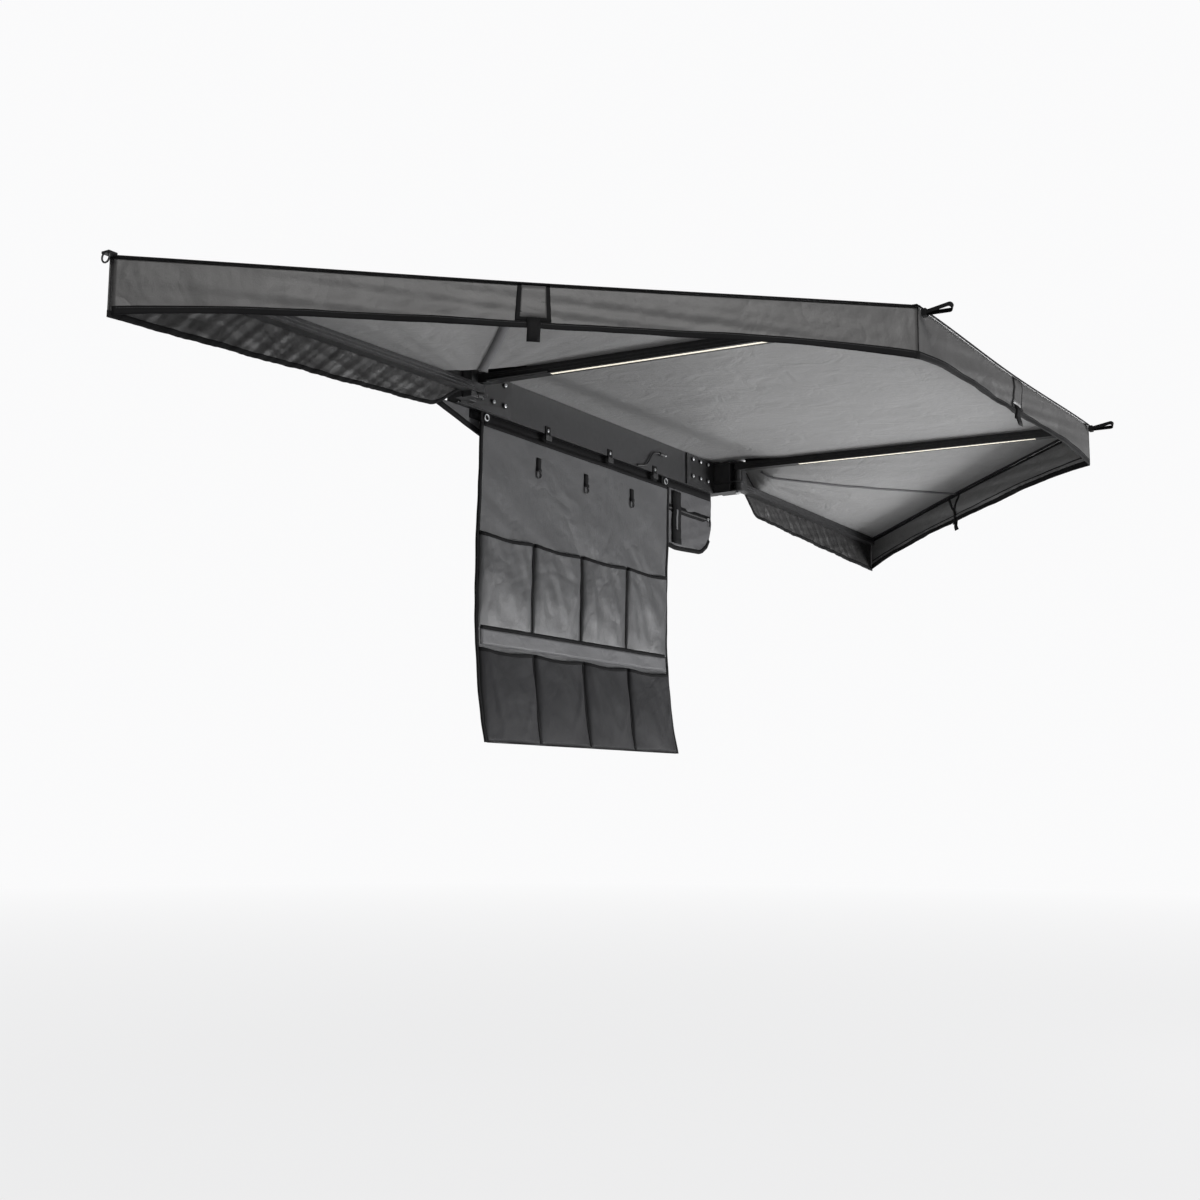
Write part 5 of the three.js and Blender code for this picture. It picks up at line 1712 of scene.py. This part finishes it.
class AWNING_OT_stage(Builder, bpy.types.Operator):
    """Camera, soft lights, pale floor and world for the picture"""

    bl_idname = "awning.stage"
    bl_label = "Stage"

    def build(self, context):
        made = [self.camera(context), self.floor(context)]
        made += self.lights()
        self.world(context)
        context.scene.view_settings.view_transform = "Standard"
        return made

    def camera(self, context):
        """The camera that stands as the photo's did."""
        yaw, pitch, roll = (math.radians(turn) for turn in (CAMERA_YAW, CAMERA_PITCH, CAMERA_ROLL))
        forward = Vector((math.cos(yaw) * math.cos(pitch), math.sin(yaw) * math.cos(pitch), math.sin(pitch)))
        right = forward.cross(Vector((0, 0, 1))).normalized()
        up = right.cross(forward)
        turned_right = right * math.cos(roll) + up * math.sin(roll)
        turned_up = up * math.cos(roll) - right * math.sin(roll)
        data = bpy.data.cameras.new("Camera")
        data.lens = CAMERA_LENS
        data.sensor_width = 36.0
        data.clip_end = 200
        camera = bpy.data.objects.new("Camera", data)
        turn = Matrix((turned_right, turned_up, -forward)).transposed().to_4x4()
        camera.matrix_world = Matrix.Translation(CAMERA_PLACE) @ turn
        context.scene.collection.objects.link(camera)
        context.scene.camera = camera
        return camera

    def floor(self, context):
        """A wide floor. Seen directly or in a reflection it is mostly the backdrop's tone."""
        mesh = bpy.data.meshes.new("Floor")
        square = ((-1, -1), (1, -1), (1, 1), (-1, 1))
        corners = [(x * FLOOR_HALF, y * FLOOR_HALF, FLOOR_HEIGHT) for x, y in square]
        mesh.from_pydata(corners, [], [(0, 1, 2, 3)])
        material, tree, shader = start_material("awning_floor")
        where = tree.nodes.new("ShaderNodeTexCoord").outputs["Object"]
        tone = place_group(tree, "Uneven colour", Vector=where,
                           Colour=rgba(context.scene.awning_colours.floor), Scale=0.6, Amount=0.02)
        feed_all(tree, shader, Base_Color=tone.outputs["Colour"], Roughness=0.9)
        rays = tree.nodes.new("ShaderNodeLightPath")
        pale = add_node(tree, "ShaderNodeEmission", Color=BACKDROP)
        far = tree.nodes.new("ShaderNodeVectorMath")
        far.operation = "LENGTH"
        feed(tree, far.inputs[0], where)
        fade = add_node(tree, "ShaderNodeMapRange", Value=far.outputs["Value"], From_Min=FLOOR_FADE[0],
                        From_Max=FLOOR_FADE[1], To_Min=FLOOR_NEAR_SHARE)
        seen = maths(tree, "MAXIMUM", rays.outputs["Is Camera Ray"], rays.outputs["Is Glossy Ray"])
        mixed = mix_shaders(tree, maths(tree, "MULTIPLY", seen, fade.outputs[0]), shader, pale)
        feed(tree, tree.nodes["Material Output"].inputs["Surface"], mixed)
        mesh.materials.append(material)
        floor = bpy.data.objects.new("Floor", mesh)
        context.scene.collection.objects.link(floor)
        return floor

    def lights(self):
        """Round soft lamps, each turned towards its target."""
        made = []
        for name, place, target, size, power, colour in LAMPS:
            data = bpy.data.lights.new(name, "AREA")
            data.shape = "DISK"
            data.size = size
            data.energy = power
            data.color = colour
            lamp = bpy.data.objects.new(name, data)
            away = Vector(place) - Vector(target)
            lamp.matrix_world = Matrix.Translation(place) @ away.to_track_quat("Z", "Y").to_matrix().to_4x4()
            bpy.context.scene.collection.objects.link(lamp)
            made.append(lamp)
        return made

    def world(self, context):
        """A pale backdrop to look at, and a faint light on the awning."""
        world = context.scene.world or bpy.data.worlds.new("World")
        context.scene.world = world
        world.use_nodes = True
        tree = world.node_tree
        tree.nodes.clear()
        output = tree.nodes.new("ShaderNodeOutputWorld")
        rays = tree.nodes.new("ShaderNodeLightPath")
        seen = add_node(tree, "ShaderNodeBackground", Color=BACKDROP, Strength=1.0)
        lit = add_node(tree, "ShaderNodeBackground", Color=WORLD_LIGHT, Strength=WORLD_STRENGTH)
        direct = maths(tree, "MAXIMUM", rays.outputs["Is Camera Ray"], rays.outputs["Is Transmission Ray"])
        feed(tree, output.inputs["Surface"], mix_shaders(tree, direct, lit, seen))


class AWNING_PT_panel(bpy.types.Panel):
    """Sizes, colours and pieces of the awning"""

    bl_idname = "AWNING_PT_panel"
    bl_label = "Rear awning"
    bl_space_type = "VIEW_3D"
    bl_region_type = "UI"
    bl_category = "Awning"

    def draw(self, context):
        layout = self.layout
        scene = context.scene
        for title, settings in (("Sizes", scene.awning_sizes), ("Colours", scene.awning_colours)):
            box = layout.box()
            box.label(text=title)
            for name in settings.bl_rna.properties.keys():
                if name not in {"rna_type", "name"}:
                    box.prop(settings, name)
        box = layout.box()
        box.label(text="Pieces")
        for operator in OPERATORS:
            box.operator(operator.bl_idname, text=operator.bl_label)


OPERATORS = (
    AWNING_OT_metalwork,
    AWNING_OT_centre,
    AWNING_OT_wings,
    AWNING_OT_valances,
    AWNING_OT_skirts,
    AWNING_OT_loops,
    AWNING_OT_organiser,
    AWNING_OT_pockets,
    AWNING_OT_cover,
    AWNING_OT_stage,
)
CLASSES = (AwningSizes, AwningColours, *OPERATORS, AWNING_PT_panel)


def register():
    for cls in CLASSES:
        bpy.utils.register_class(cls)
    bpy.types.Scene.awning_sizes = bpy.props.PointerProperty(type=AwningSizes)
    bpy.types.Scene.awning_colours = bpy.props.PointerProperty(type=AwningColours)


def unregister():
    del bpy.types.Scene.awning_colours
    del bpy.types.Scene.awning_sizes
    for cls in reversed(CLASSES):
        bpy.utils.unregister_class(cls)


def main():
    register()
    bpy.ops.awning.metalwork()
    bpy.ops.awning.centre()
    bpy.ops.awning.wings()
    bpy.ops.awning.valances()
    bpy.ops.awning.skirts()
    bpy.ops.awning.loops()
    bpy.ops.awning.organiser()
    bpy.ops.awning.pockets()
    bpy.ops.awning.cover()
    bpy.ops.awning.stage()


if __name__ == "__main__":
    main()
